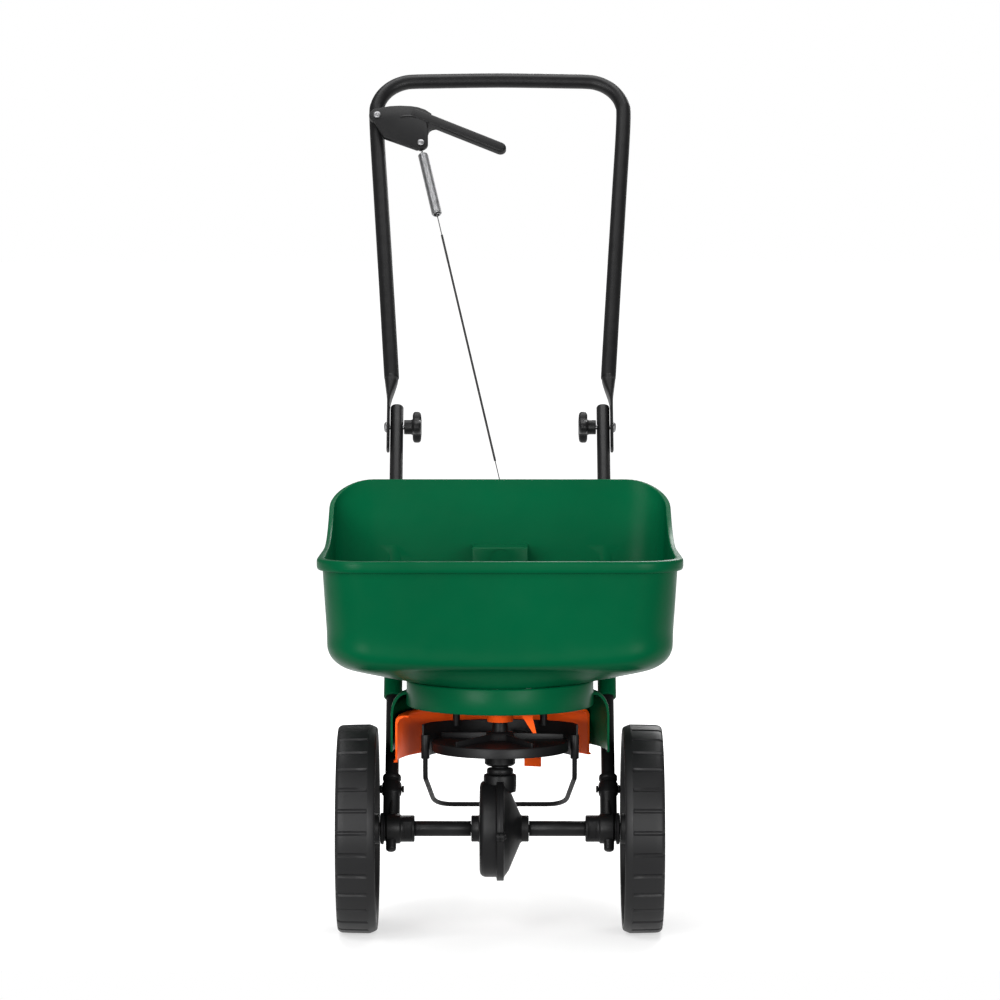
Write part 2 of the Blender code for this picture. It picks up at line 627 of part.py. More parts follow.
def make_axle():
    axle = turned("axle", at(-AXLE_HALF, 0, WHEEL_RADIUS), X_AXIS,
                  [(AXLE_RADIUS - 0.001, 0), (AXLE_RADIUS, 0.001), (AXLE_RADIUS, 2 * AXLE_HALF - 0.001),
                   (AXLE_RADIUS - 0.001, 2 * AXLE_HALF)], 12)
    hole = rod("pin_hole", at(PIN_X, 0, WHEEL_RADIUS - 0.01), at(PIN_X, 0, WHEEL_RADIUS + 0.01), 0.0019, 8)
    cut(axle, hole)
    return finished(axle, STEEL, 0.3, 1.0, pivot=AXLE)


def make_drive_pin():
    """The pin through the axle's end that makes one wheel drive it."""
    pin = rod("drive_pin", at(PIN_X, 0, WHEEL_RADIUS - PIN_HALF), at(PIN_X, 0, WHEEL_RADIUS + PIN_HALF), 0.0016, 8)
    return finished(pin, STEEL, 0.35, 1.0, pivot=AXLE)


def make_axle_tube(side, name):
    tube = pipe("axle_tube_" + name, at(side * 0.0348, 0, WHEEL_RADIUS), at(side * 0.1105, 0, WHEEL_RADIUS),
                0.0092, 0.0062, 12)
    return finished(tube, BLACK, 0.45)


def make_axle_bracket(side, name):
    """Bearing housing on the axle, with the slanted socket that the lower tube stands in."""
    along = X_AXIS * side
    start = at(side * 0.1025, 0, WHEEL_RADIUS)
    bracket = turned("axle_bracket_" + name, start, along,
                     [(0.0150, 0), (0.0160, 0.001), (0.0160, 0.0160), (0.0180, 0.0175), (0.0180, 0.0330),
                      (0.0150, 0.0350), (0.0150, 0.0362), (0.0190, 0.0372), (0.0190, 0.0400), (0.0165, 0.0410)], 16)
    x = side * TUBE_X
    socket_axis = on_handle(x, 1) - on_handle(x, 0)
    socket = turned("socket", on_handle(x, 0), socket_axis,
                    [(0.0102, 0), (0.0102, 0.0445), (0.0118, 0.0460), (0.0118, 0.0590), (0.0102, 0.0605),
                     (0.0102, 0.0640), (0.0112, 0.0645), (0.0112, 0.0690), (0.0100, 0.0700)], 14)
    nub = turned("nub", on_handle(x, -0.029), socket_axis, [(0.0052, 0), (0.0062, 0.0012), (0.0068, 0.029)], 12)
    joined(bracket, socket, nub)
    cut(bracket, rod("axle_bore", start - along * 0.01, start + along * 0.05, AXLE_RADIUS + GAP, 12))
    cut(bracket, rod("tube_seat", start - along * 0.01, start + along * 0.0085, 0.0095, 12))
    cut(bracket, rod("tube_bore", on_handle(x, TUBE_FOOT - GAP), on_handle(x, 0.09), TUBE_RADIUS + GAP, 12))
    bolt = on_handle(x, BOLT_S)
    cut(bracket, rod("bolt_hole", bolt - X_AXIS * 0.03, bolt + X_AXIS * 0.03, 0.0029, 12))
    slot = box("slot", at(side * 0.1105 - 0.005, -0.03, WHEEL_RADIUS - 0.0155),
               at(side * 0.1105 + 0.005, -0.0125, WHEEL_RADIUS + 0.0155))
    cut(bracket, slot)
    return finished(bracket, BLACK, 0.42)


def make_bracket_bolt(side, name):
    x = side * TUBE_X
    start = on_handle(x, BOLT_S) - X_AXIS * side * 0.0148
    bolt = turned("bracket_bolt_" + name, start, X_AXIS * side,
                  [(0.0046, 0), (0.0046, 0.0027), (0.0025, 0.0027), (0.0025, 0.0268), (0.0052, 0.0268),
                   (0.0048, 0.0288), (0.0030, 0.0300)], 8)
    return finished(bolt, (0.05, 0.05, 0.05), 0.35, 0.6)


def make_wheel(side, name):
    """Moulded wheel: a drafted tread, one web set in from the outer face, and a long hub."""
    width = WHEEL_OUTER - WHEEL_INNER
    radius, shoulder = WHEEL_RADIUS, 0.1205
    profile = [(AXLE_RADIUS + GAP, -0.0022), (0.018, -0.0022), (0.0195, 0.021), (0.104, 0.023),
               (0.1150, 0.0008), (radius, 0), (0.1242, width - 0.005), (shoulder, width),
               (0.1130, width - 0.0005), (0.104, 0.0265), (0.0205, 0.0255), (0.0180, HUB_END - WHEEL_INNER),
               (AXLE_RADIUS + GAP, HUB_END - WHEEL_INNER)]
    start = at(side * WHEEL_INNER, 0, WHEEL_RADIUS)
    wheel = turned("wheel_" + name, start, X_AXIS * side, profile, 36, hollow=True)
    for i in range(WHEEL_RIBS):
        turn = Matrix.Rotation(tau * (i + 0.5) / WHEEL_RIBS, 4, "X")
        rib = box("rib", Vector((0.0240, -0.002, 0.0185)), Vector((0.0330, 0.002, 0.1130)))
        if side < 0:
            rib.data.transform(Matrix.Rotation(pi, 4, "Z"))
        rib.data.transform(Matrix.Translation(start) @ turn)
        joined(wheel, rib)
    if side > 0:
        slot = box("pin_slot", at(PIN_X - 0.0020, -0.0020, WHEEL_RADIUS - PIN_HALF - GAP),
                   at(HUB_END + 0.01, 0.0020, WHEEL_RADIUS + PIN_HALF + GAP))
        cut(wheel, slot)
    return finished(wheel, BLACK, 0.5, pivot=AXLE)


def make_hub_cap(side, name):
    start = at(side * (HUB_END + 2 * GAP), 0, WHEEL_RADIUS)
    cap = turned("hub_cap_" + name, start, X_AXIS * side,
                 [(0.0165, 0), (0.0165, 0.0065), (0.0150, 0.0092), (0.0065, 0.0100)], 14)
    cut(cap, rod("axle_room", start - X_AXIS * side * 0.01, start + X_AXIS * side * 0.0080, AXLE_RADIUS + GAP, 12))
    return finished(cap, BLACK, 0.4, pivot=AXLE)


def make_washer(side, name):
    start = at(side * 0.1437, 0, WHEEL_RADIUS)
    washer = turned("wheel_washer_" + name, start, X_AXIS * side,
                    [(AXLE_RADIUS + GAP, 0), (0.009, 0), (0.009, 0.0008), (AXLE_RADIUS + GAP, 0.0008)], 14,
                    hollow=True)
    return finished(washer, STEEL, 0.3, 1.0)


# ---------------------------------------------------------------- frame, stand and handle


def make_lower_tube(side, name):
    x = side * TUBE_X
    tube = pipe("lower_tube_" + name, on_handle(x, TUBE_FOOT), on_handle(x, TUBE_HEAD), TUBE_RADIUS,
                TUBE_RADIUS - TUBE_WALL, 12)
    for s, radius in ((BOLT_S, 0.0029), (FOLD_S, 0.0035)):
        middle = on_handle(x, s)
        cut(tube, rod("hole", middle - X_AXIS * 0.02, middle + X_AXIS * 0.02, radius, 10))
    screw = on_handle(x, TUBE_SCREW_S)
    cut(tube, rod("hole", screw, screw - OUT_OF_PLANE * 0.02, 0.0022, 8))
    return finished(tube, BLACK, 0.38, 0.2)


def make_tube_screw(side, name, hopper):
    """The screw through the hopper's socket that holds the lower tube."""
    centre = on_handle(side * TUBE_X, TUBE_SCREW_S)
    cut(hopper, rod("hole", centre, centre - OUT_OF_PLANE * 0.03, 0.0022, 8))
    screw = turned("tube_screw_" + name, centre - OUT_OF_PLANE * 0.004, -OUT_OF_PLANE,
                   [(0.0018, 0), (0.0018, 0.0078), (0.0038, 0.0078), (0.0038, 0.0094), (0.0024, 0.0106)], 8)
    return finished(screw, STEEL, 0.35, 1.0)


def rounded_path(points, radii, steps=5):
    """A polyline whose inner corners are rounded, each from a reach along its two sides."""
    path = [points[0]]
    for before, corner, after, radius in zip(points, points[1:], points[2:], radii):
        first = (before - corner).normalized()
        second = (after - corner).normalized()
        reach = min(radius, (before - corner).length * 0.45, (after - corner).length * 0.45)
        start, end = corner + first * reach, corner + second * reach
        for i in range(steps + 1):
            t = i / steps
            path.append(start * (1 - t) ** 2 + corner * 2 * t * (1 - t) + end * t**2)
    path.append(points[-1])
    return path


def make_rear_stand():
    """Bent wire behind the axle. The spreader is leaned back on it when it is parked."""
    right = [at(STAND_X, 0.004, 0.233), at(STAND_X, 0.004, 0.186), at(0.0855, 0.320, 0.1075)]
    left = [Vector((-point.x, point.y, point.z)) for point in reversed(right)]
    path = rounded_path(right + left, (0.009, 0.045, 0.045, 0.009), 5)
    stand = swept("rear_stand", path, 0.003, 8)
    return finished(stand, BLACK, 0.35, 0.3)


def handle_path():
    """The right half of the handle from its flattened end to the middle of the top bar, with section sizes."""
    centre_x = HANDLE_TOP_X - HANDLE_CORNER
    corner_s = HANDLE_TOP_S - HANDLE_CORNER
    stations = [(0.1413, 0.5272, 0.0020, 0.0085), (0.1413, 0.5330, 0.0020, 0.0125),
                (0.1413, 0.592, 0.0020, 0.0130), (0.1402, 0.604, 0.0035, 0.0125),
                (0.1388, 0.618, 0.0068, 0.0112), (0.1380, 0.634, HANDLE_RADIUS, HANDLE_RADIUS),
                (0.1470, 0.780, HANDLE_RADIUS, HANDLE_RADIUS), (0.1560, 0.920, HANDLE_RADIUS, HANDLE_RADIUS),
                (0.1612, 1.000, HANDLE_RADIUS, HANDLE_RADIUS)]
    for angle in (0, 20, 40, 60, 80, 90):
        x, s = arc(centre_x, corner_s, HANDLE_CORNER, angle, angle, 1)[0]
        stations.append((x, s, HANDLE_RADIUS, HANDLE_RADIUS))
    stations.append((0.055, HANDLE_TOP_S + HANDLE_BOW * 0.6, HANDLE_RADIUS, HANDLE_RADIUS))
    stations.append((0.0, HANDLE_TOP_S + HANDLE_BOW, HANDLE_RADIUS, HANDLE_RADIUS))
    return stations


def handle_rings(shrink):
    """Rings round the handle's whole path. shrink takes the wall's thickness off each half size."""
    half = handle_path()
    stations = half + [(-x, s, thick, wide) for x, s, thick, wide in reversed(half[:-1])]
    points = [on_handle(x, s) for x, s, _, _ in stations]
    rings = []
    for i, (_, _, thick, wide) in enumerate(stations):
        along = (points[min(i + 1, len(points) - 1)] - points[max(i - 1, 0)]).normalized()
        across = along.cross(OUT_OF_PLANE)
        angles = [tau * k / 10 for k in range(10)]
        rings.append([points[i] + across * (cos(a) * (thick - shrink)) + OUT_OF_PLANE * (sin(a) * (wide - shrink))
                      for a in angles])
    return rings


def make_upper_handle():
    """One bent tube, flattened where it bolts to the outer sides of the lower tubes."""
    handle = loft("upper_handle", handle_rings(0) + handle_rings(TUBE_WALL)[::-1], ring_loop=True)
    pivot = on_handle(0, FOLD_S)
    cut(handle, rod("bolt_holes", pivot - X_AXIS * 0.2, pivot + X_AXIS * 0.2, 0.0035, 12))
    rivet = on_handle(LEVER_X, LEVER_S)
    cut(handle, rod("rivet_hole", rivet - OUT_OF_PLANE * 0.03, rivet + OUT_OF_PLANE * 0.03, 0.0029, 10))
    return finished(handle, BLACK, 0.36, 0.2, pivot=pivot)


def make_knob(side, name):
    """Three-lobed clamp knob on the inner side of a lower tube."""
    base = on_handle(side * (TUBE_X - TUBE_RADIUS - 0.0010), FOLD_S)
    inward = -X_AXIS * side
    knob = turned("knob_" + name, base, inward,
                  [(0.0085, 0), (0.0092, 0.001), (0.0092, 0.0085), (0.0100, 0.0105), (0.0125, 0.0125),
                   (0.0135, 0.0165), (0.0125, 0.0205), (0.0090, 0.0222)], 12)
    for i in range(3):
        direction = Matrix.Rotation(tau * i / 3, 3, "X") @ UP_TUBE
        centre = base + direction * 0.0145
        joined(knob, turned("lobe", centre, inward, [(0.0060, 0.0108), (0.0072, 0.0125), (0.0074, 0.0190),
                                                     (0.0060, 0.0210)], 12))
    cut(knob, rod("bolt_room", base - inward * 0.01, base + inward * 0.0165, 0.0035, 12))
    return finished(knob, BLACK, 0.4, pivot=on_handle(0, FOLD_S) + X_AXIS * base.x)


def make_knob_bolt(side, name):
    head = on_handle(side * 0.1436, FOLD_S)
    bolt = turned("knob_bolt_" + name, head + X_AXIS * side * 0.0030, -X_AXIS * side,
                  [(0.0035, 0), (0.0062, 0.0012), (0.0068, 0.0030), (0.0030, 0.0030), (0.0030, 0.0370)], 12)
    return finished(bolt, STEEL, 0.28, 1.0, pivot=on_handle(0, FOLD_S) + X_AXIS * side * 0.1436)


# ---------------------------------------------------------------- lever, cable and shutoff linkage


def cable_top():
    return on_handle(CABLE_PIN_X, CABLE_PIN_S, CABLE_OUT)


def cable_line(z):
    """A point of the cable's straight run at a height. The run crosses the handle's folding axis."""
    top = cable_top()
    fold = on_handle(FOLD_X, FOLD_S)
    return top + (fold - top) * ((top.z - z) / (top.z - fold.z))


def make_control_lever():
    """Squeeze lever in front of the handle: a plate from the rivet to the cable pin, and the long arm."""
    plate_points = arc(LEVER_X, LEVER_S, 0.0105, 100, 250, 7)
    plate_points += [(-0.1525, 0.9925), (-0.1085, 0.9738)]
    plate_points += arc(CABLE_PIN_X, CABLE_PIN_S, 0.0095, 250, 350, 4)
    plate_points += [(-0.0945, 1.0037), (-0.0900, 1.0300)]
    plate_points += [(-0.0985, 1.0365), (-0.1085, 1.0405), (-0.1250, 1.0428), (-0.1450, 1.0420)]
    front = LEVER_BACK + LEVER_PLATE
    plate = extrusion("control_lever", [on_handle(x, s, LEVER_BACK) for x, s in plate_points],
                      OUT_OF_PLANE * LEVER_PLATE)
    bevelled(plate, 0.0012)
    start, end = Vector((-0.1100, 1.0300)), Vector((0.0000, 0.9775))
    along = (end - start).normalized()
    across = Vector((-along.y, along.x)) * 0.0073
    arm_points = [start + across, end + across, end + along * 0.0060 + across * 0.6,
                  end + along * 0.0082, end + along * 0.0060 - across * 0.6, end - across, start - across]
    arm = extrusion("arm", [on_handle(p.x, p.y, front - 0.0105) for p in arm_points], OUT_OF_PLANE * 0.0115)
    bevelled(arm, 0.0028, 3)
    joined(plate, arm)
    for x, s in ((LEVER_X, LEVER_S), (CABLE_PIN_X, CABLE_PIN_S)):
        cut(plate, rod("hole", on_handle(x, s, 0), on_handle(x, s, 0.03), 0.0029, 10))
    return finished(plate, BLACK, 0.42, pivot=on_handle(LEVER_X, LEVER_S))


def make_lever_rivet():
    front = LEVER_BACK + LEVER_PLATE + GAP
    back = -HANDLE_RADIUS - 0.0006
    rivet = turned("lever_rivet", on_handle(LEVER_X, LEVER_S, back - 0.0022), OUT_OF_PLANE,
                   [(0.0038, 0), (0.0052, 0.0010), (0.0052, 0.0022), (0.0025, 0.0022),
                    (0.0025, front - back + 0.0022), (0.0052, front - back + 0.0022),
                    (0.0050, front - back + 0.0032), (0.0034, front - back + 0.0042)], 12)
    return finished(rivet, STEEL, 0.3, 1.0)


def make_cable_pin():
    front = LEVER_BACK + LEVER_PLATE + GAP
    pin = turned("cable_pin", on_handle(CABLE_PIN_X, CABLE_PIN_S, 0.0020), OUT_OF_PLANE,
                 [(0.0045, 0), (0.0045, 0.0012), (0.0025, 0.0012), (0.0025, front - 0.0020),
                  (0.0048, front - 0.0020), (0.0046, front - 0.0010), (0.0032, front)], 12)
    return finished(pin, STEEL, 0.3, 1.0, pivot=on_handle(LEVER_X, LEVER_S))


def make_spring():
    """The outer shape of the close-wound spring, with the eye that hangs on the cable pin."""
    top = cable_top()
    down = (cable_line(0.6) - top).normalized()
    start, end = top + down * 0.0105, top + down * 0.1110
    length = (end - start).length
    spring = turned("lever_spring", start, down,
                    [(0.0040, 0), (0.0068, 0.0030), (0.0068, length - 0.006), (0.0030, length)], 12)
    eye_axis = OUT_OF_PLANE
    eye = turned("eye", top - eye_axis * 0.0009, eye_axis,
                 [(0.0033, 0), (0.0051, 0), (0.0051, 0.0018), (0.0033, 0.0018)], 12, hollow=True)
    neck = rod("neck", top + down * 0.0042, top + down * 0.0125, 0.0010, 8)
    joined(spring, eye, neck)
    return finished(spring, (0.60, 0.60, 0.60), 0.3, 1.0, pivot=top)


def make_upper_cable():
    top = cable_top()
    down = (cable_line(0.6) - top).normalized()
    fold = on_handle(FOLD_X, FOLD_S)
    wire = rod("cable_wire_upper", top + down * SPRING_END, top + down * (SHEATH_TOP - GAP), WIRE_RADIUS, 8)
    finished(wire, (0.12, 0.12, 0.12), 0.4, 0.6, pivot=top)
    sheath = rod("cable_sheath_upper", top + down * SHEATH_TOP, fold - down * CABLE_GAP, SHEATH_RADIUS, 8)
    finished(sheath, BLACK, 0.45, pivot=top)


def make_lower_cable():
    down = (cable_line(0.5) - cable_line(0.6)).normalized()
    fold = on_handle(FOLD_X, FOLD_S)
    sheath_end = cable_line(0.5490)
    sheath = rod("cable_sheath_lower", fold + down * CABLE_GAP, sheath_end, SHEATH_RADIUS, 8)
    finished(sheath, BLACK, 0.45, pivot=fold)
    wire = rod("cable_wire_lower", sheath_end + down * GAP, cable_line(GUIDE_BEND_Z + 0.003), WIRE_RADIUS, 8)
    finished(wire, (0.12, 0.12, 0.12), 0.4, 0.6, pivot=fold)


def guide_corner():
    return cable_line(GUIDE_BEND_Z)


def make_cable_guide():
    """The bent tube at the hopper's rear that turns the cable from its slant to upright, on its foot."""
    corner = guide_corner()
    foot = Vector((corner.x, corner.y, GUIDE_FOOT_Z))
    path = rounded_path([cable_line(GUIDE_TOP_Z), corner, foot], [0.010], 4)
    guide = swept("cable_guide", path, 0.0042, 10)
    low, high = 0.474, 0.500
    web = [at(corner.x - 0.005, rear_wall(low) + GAP, low), Vector((corner.x - 0.005, corner.y, low)),
           Vector((corner.x - 0.005, corner.y, high)), at(corner.x - 0.005, rear_wall(high) + GAP, high)]
    joined(guide, extrusion("web", web, X_AXIS * 0.010))
    long_path = rounded_path([cable_line(GUIDE_TOP_Z + 0.01), corner, foot - Z_AXIS * 0.01], [0.012], 4)
    cut(guide, swept("bore", long_path, 0.0016, 8))
    return finished(guide, BLACK, 0.45)


def crank_wire_pin():
    """The wire's pin on the crank at rest: below level by half the swing, and near the wire's line all the way."""
    half = CRANK_SWING / 2
    reach = (CRANK_X - guide_corner().x) * 2 / (1 + cos(half))
    return at(CRANK_X - reach * cos(half), CRANK_Y, CRANK_Z - reach * sin(half))


def make_pull_wire():
    """The wire from the guide down to the crank's pin, ending in an eye."""
    corner = guide_corner()
    pin = Vector((corner.x, AXLE_Y + CRANK_Y, crank_wire_pin().z))
    wire = rod("pull_wire", Vector((corner.x, corner.y, pin.z + 0.003)),
               Vector((corner.x, corner.y, GUIDE_FOOT_Z + 0.005)), 0.0009, 8)
    eye = turned("eye", Vector((pin.x, corner.y - 0.0010, pin.z)), Y_AXIS,
                 [(0.0024, 0), (0.0042, 0), (0.0042, 0.0020), (0.0024, 0.0020)], 12, hollow=True)
    joined(wire, eye)
    return finished(wire, STEEL, 0.35, 1.0, pivot=pin)


def make_bell_crank():
    """The crank behind the hopper: the wire lifts its short arm and its long arm swings the shutoff plate."""
    pivot = at(CRANK_X, CRANK_Y, CRANK_Z)
    wire_pin = crank_wire_pin()
    down = (at(SHUTOFF_PIN_X, SHUTOFF_PIN_Y, 0.2705) - pivot).normalized()
    knee = pivot + down * 0.1155
    thick = Y_AXIS * 0.003
    hub = rod("bell_crank", pivot, pivot + thick, 0.0125, 12)
    for end, half in ((wire_pin, 0.0050), (knee, 0.0055)):
        along = (end - pivot).normalized()
        across = along.cross(Y_AXIS) * half
        outline = [pivot - across * 1.7, end - across + along * 0.0050, end + across + along * 0.0050,
                   pivot + across * 1.7]
        joined(hub, extrusion("arm", outline, thick))
    pin_end = Vector((wire_pin.x, guide_corner().y - 0.0020, wire_pin.z))
    joined(hub, rod("wire_pin", pin_end, wire_pin + thick * 0.5, 0.0014, 8))
    joined(hub, rod("plate_pin", pivot + down * 0.1380, knee, 0.0018, 8))
    cut(hub, rod("bore", pivot - thick, pivot + thick * 2, 0.0034, 12))
    return finished(hub, BLACK, 0.4, 0.2, pivot=pivot)


def make_crank_screw():
    base = at(CRANK_X, CRANK_Y, CRANK_Z) + Y_AXIS * (0.003 + GAP)
    screw = turned("crank_screw", base - Y_AXIS * 0.018, Y_AXIS,
                   [(0.0020, 0), (0.0020, 0.018), (0.0060, 0.018), (0.0060, 0.0195), (0.0035, 0.0210)], 12)
    return finished(screw, STEEL, 0.35, 1.0)


def make_rate_dial():
    """The dial in the hopper's rear pocket that limits how far the shutoff opens."""
    base = at(0, DIAL_Y + 0.0035, DIAL_Z)
    dial = turned("rate_dial", base, Y_AXIS,
                  [(0.0240, 0), (0.0250, 0.0010), (0.0250, 0.0080), (0.0235, 0.0095), (0.0100, 0.0095),
                   (0.0085, 0.0100)], 22)
    ridge = box("ridge", base + Vector((-0.0030, 0.008, -0.0200)), base + Vector((0.0030, 0.0175, 0.0200)))
    bevelled(ridge, 0.001)
    joined(dial, ridge)
    cut(dial, rod("bore", base - Y_AXIS * 0.01, base + Y_AXIS * 0.02, 0.0024, 10))
    return finished(dial, ORANGE, 0.4, pivot=base)


def make_dial_screw(hopper):
    base = at(0, DIAL_Y, DIAL_Z)
    cut(hopper, rod("hole", base - Y_AXIS * 0.01, base + Y_AXIS * 0.01, 0.0024, 8))
    screw = turned("dial_screw", base - Y_AXIS * 0.003, Y_AXIS,
                   [(0.0020, 0), (0.0020, 0.0242), (0.0030, 0.0242), (0.0030, 0.0258)], 10)
    return finished(screw, STEEL, 0.35, 1.0)


def make_agitator():
    """The wire that keeps the granules moving, on top of the impeller's shaft."""
    hub = turned("agitator", at(0, 0, 0), Z_AXIS,
                 [(SHAFT_RADIUS + GAP, 0.2835), (0.0095, 0.2835), (0.0095, 0.2950), (0.0085, 0.2960),
                  (SHAFT_RADIUS + GAP, 0.2960)], 12, hollow=True)
    for side in (-1, 1):
        path = [at(side * 0.0080, 0, 0.2900), at(side * 0.026, side * 0.004, 0.2900),
                at(side * 0.040, side * 0.012, 0.2940)]
        joined(hub, swept("arm", rounded_path(path, [0.006], 3), 0.0016, 6))
    return finished(hub, STEEL, 0.35, 1.0, pivot=at(0, 0, 0.225))


def make_deflector_screws(housing, deflector):
    for name, angle in (("left", 55), ("right", 125)):
        x, y = arc(0, 0, DEFLECTOR_RADIUS - SKIN / 2, angle, angle, 1)[0]
        cut(housing, rod("hole", at(x, y, 0.26), at(x, y, 0.30), 0.0020, 8))
        cut(deflector, rod("hole", at(x, y, 0.262), at(x, y, 0.29), 0.0020, 8))
        screw = turned("deflector_screw_" + name, at(x, y, 0.2640), Z_AXIS,
                       [(0.0016, 0), (0.0016, 0.0172), (0.0034, 0.0172), (0.0034, 0.0185), (0.0022, 0.0195)], 8)
        finished(screw, STEEL, 0.35, 1.0)


def main():
    clear_scene()
    hopper = make_hopper()
    housing = make_impeller_housing()
    deflector = make_rear_deflector()
    make_deflector_screws(housing, deflector)
    make_shutoff_plate()
    make_edge_shield()
    make_impeller()
    make_impeller_shaft()
    make_shaft_bush()
    make_pinion()
    make_agitator()
    make_crown_gear()
    make_gearbox_housing()
    make_gearbox_cover()
    make_gearbox_screws()
    make_axle()
    make_drive_pin()
    for side, name in ((1, "left"), (-1, "right")):
        make_axle_tube(side, name)
        make_axle_bracket(side, name)
        make_bracket_bolt(side, name)
        make_washer(side, name)
        make_wheel(side, name)
        make_hub_cap(side, name)
        make_lower_tube(side, name)
        make_tube_screw(side, name, hopper)
        make_knob(side, name)
        make_knob_bolt(side, name)
    make_rear_stand()
    make_upper_handle()
    make_control_lever()
    make_lever_rivet()
    make_cable_pin()
    make_spring()
    make_upper_cable()
    make_lower_cable()
    make_cable_guide()
    make_pull_wire()
    make_bell_crank()
    make_crank_screw()
    make_rate_dial()
    make_dial_screw(hopper)


main()
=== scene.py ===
"""Looks of the walk-behind broadcast spreader: smooth shells, treaded wheels, a coiled spring and the materials.

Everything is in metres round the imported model, +Z up, with the user behind at +Y. Places come from the frame:
the axle's centre, the fold line and the boxes of its nodes.
"""

import json
from math import atan2, cos, pi, radians, sin, tau

import bmesh
import bpy
from mathutils import Matrix, Vector


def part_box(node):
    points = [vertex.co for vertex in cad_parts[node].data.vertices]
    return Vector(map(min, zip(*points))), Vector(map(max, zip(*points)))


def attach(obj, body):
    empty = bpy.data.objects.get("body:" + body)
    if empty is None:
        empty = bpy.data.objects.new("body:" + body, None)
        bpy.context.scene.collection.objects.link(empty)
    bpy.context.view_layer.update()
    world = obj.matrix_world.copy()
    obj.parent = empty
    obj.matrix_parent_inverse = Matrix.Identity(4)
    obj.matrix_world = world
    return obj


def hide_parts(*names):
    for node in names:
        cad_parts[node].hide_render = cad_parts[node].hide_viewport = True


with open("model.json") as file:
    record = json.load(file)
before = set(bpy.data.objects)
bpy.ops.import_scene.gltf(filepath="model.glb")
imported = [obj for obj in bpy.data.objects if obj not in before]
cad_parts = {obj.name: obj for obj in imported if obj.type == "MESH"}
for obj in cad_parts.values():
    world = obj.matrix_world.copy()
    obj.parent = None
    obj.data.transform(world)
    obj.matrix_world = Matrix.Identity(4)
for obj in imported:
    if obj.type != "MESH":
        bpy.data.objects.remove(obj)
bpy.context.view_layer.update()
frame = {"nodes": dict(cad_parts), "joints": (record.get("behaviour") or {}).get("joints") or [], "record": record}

X_AXIS, Y_AXIS, Z_AXIS = Vector((1, 0, 0)), Vector((0, 1, 0)), Vector((0, 0, 1))
JOINTS = {joint["name"]: joint for joint in frame["joints"]}


def centre_of(node):
    low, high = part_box(node)
    return (Vector(low) + Vector(high)) / 2


def size_of(node):
    low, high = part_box(node)
    return Vector(high) - Vector(low)


AXLE = centre_of("axle")
FOLD = Vector(JOINTS["handle_fold"]["pos_m"])
UP_TUBE = (FOLD - AXLE).normalized()
OUT_OF_PLANE = X_AXIS.cross(UP_TUBE)
FOLD_S = (FOLD - AXLE).length
TUBE_X = centre_of("lower_tube_left").x
TUBE_RADIUS = size_of("lower_tube_left").x / 2
TUBE_FOOT, TUBE_HEAD = 0.0225, 0.590
HANDLE_RADIUS = 0.0096

# The tub
RIM_X, RIM_FRONT, RIM_REAR, RIM_Z, RIM_RISE = 0.2075, -0.158, 0.243, 0.461, 0.067
LIP, LIP_DEPTH, WALL = 0.007, 0.0145, 0.0028
FOOT_X, FOOT_FRONT, FOOT_REAR, FOOT_Z, FOOT_CORNER = 0.2035, -0.146, 0.168, 0.366, 0.055
COLLAR_RADIUS, COLLAR_TOP, FLOOR_Z = 0.112, 0.306, 0.277
POCKET_Y, POCKET_X, POCKET_TOP = 0.150, 0.0346, 0.450

# Wheels
WHEEL_RADIUS = size_of("wheel_left").z / 2
WHEEL_INNER, WHEEL_OUTER = 0.147, 0.194
TREAD_BARS = 30
SPOKES = 6

# Shroud, shield, impeller and gearbox
SHROUD_RADIUS, SHIELD_RADIUS, SKIN = 0.131, 0.1255, 0.0025
IMPELLER_RADIUS, IMPELLER_TOP, IMPELLER_SKIRT = 0.082, 0.2316, 0.0117
GEARBOX_RADIUS = 0.058

# Lever and cable
LEVER = Vector(JOINTS["lever_squeeze"]["pos_m"])
CABLE_TOP = Vector(JOINTS["cable_swing"]["pos_m"])
LEVER_BACK, LEVER_PLATE = 0.0104, 0.0060
SPRING_RADIUS, COIL_WIRE = 0.0067, 0.00085
SHEATH_RADIUS, WIRE_RADIUS = 0.00145, 0.0006


def at(x, y, z):
    return Vector((x, AXLE.y + y, z))


def on_handle(x, s, out=0.0):
    """A point in the handle's plane: x across, s up the tubes from the axle, out of the plane to the front."""
    return Vector((x, 0, 0)) + AXLE + UP_TUBE * s + OUT_OF_PLANE * out


# ---------------------------------------------------------------- materials


def new_material(name, colour, roughness, metallic=0.0, specular=0.5):
    material = bpy.data.materials.new(name)
    material.use_nodes = True
    shader = material.node_tree.nodes["Principled BSDF"]
    shader.inputs["Base Color"].default_value = (*colour, 1)
    shader.inputs["Roughness"].default_value = roughness
    shader.inputs["Metallic"].default_value = metallic
    shader.inputs["Specular IOR Level"].default_value = specular
    return material


def noise(material, scale, detail):
    """A noise in the object's own space."""
    nodes, links = material.node_tree.nodes, material.node_tree.links
    place = nodes.new("ShaderNodeTexCoord")
    texture = nodes.new("ShaderNodeTexNoise")
    texture.inputs["Scale"].default_value = scale
    texture.inputs["Detail"].default_value = detail
    links.new(place.outputs["Object"], texture.inputs["Vector"])
    return texture.outputs["Fac"]


def vary_colour(material, source, dark, light):
    """The base colour drifts between two colours with a noise."""
    nodes, links = material.node_tree.nodes, material.node_tree.links
    ramp = nodes.new("ShaderNodeValToRGB")
    ramp.color_ramp.elements[0].position = 0.3
    ramp.color_ramp.elements[1].position = 0.7
    ramp.color_ramp.elements[0].color = (*dark, 1)
    ramp.color_ramp.elements[1].color = (*light, 1)
    links.new(source, ramp.inputs["Fac"])
    links.new(ramp.outputs["Color"], nodes["Principled BSDF"].inputs["Base Color"])


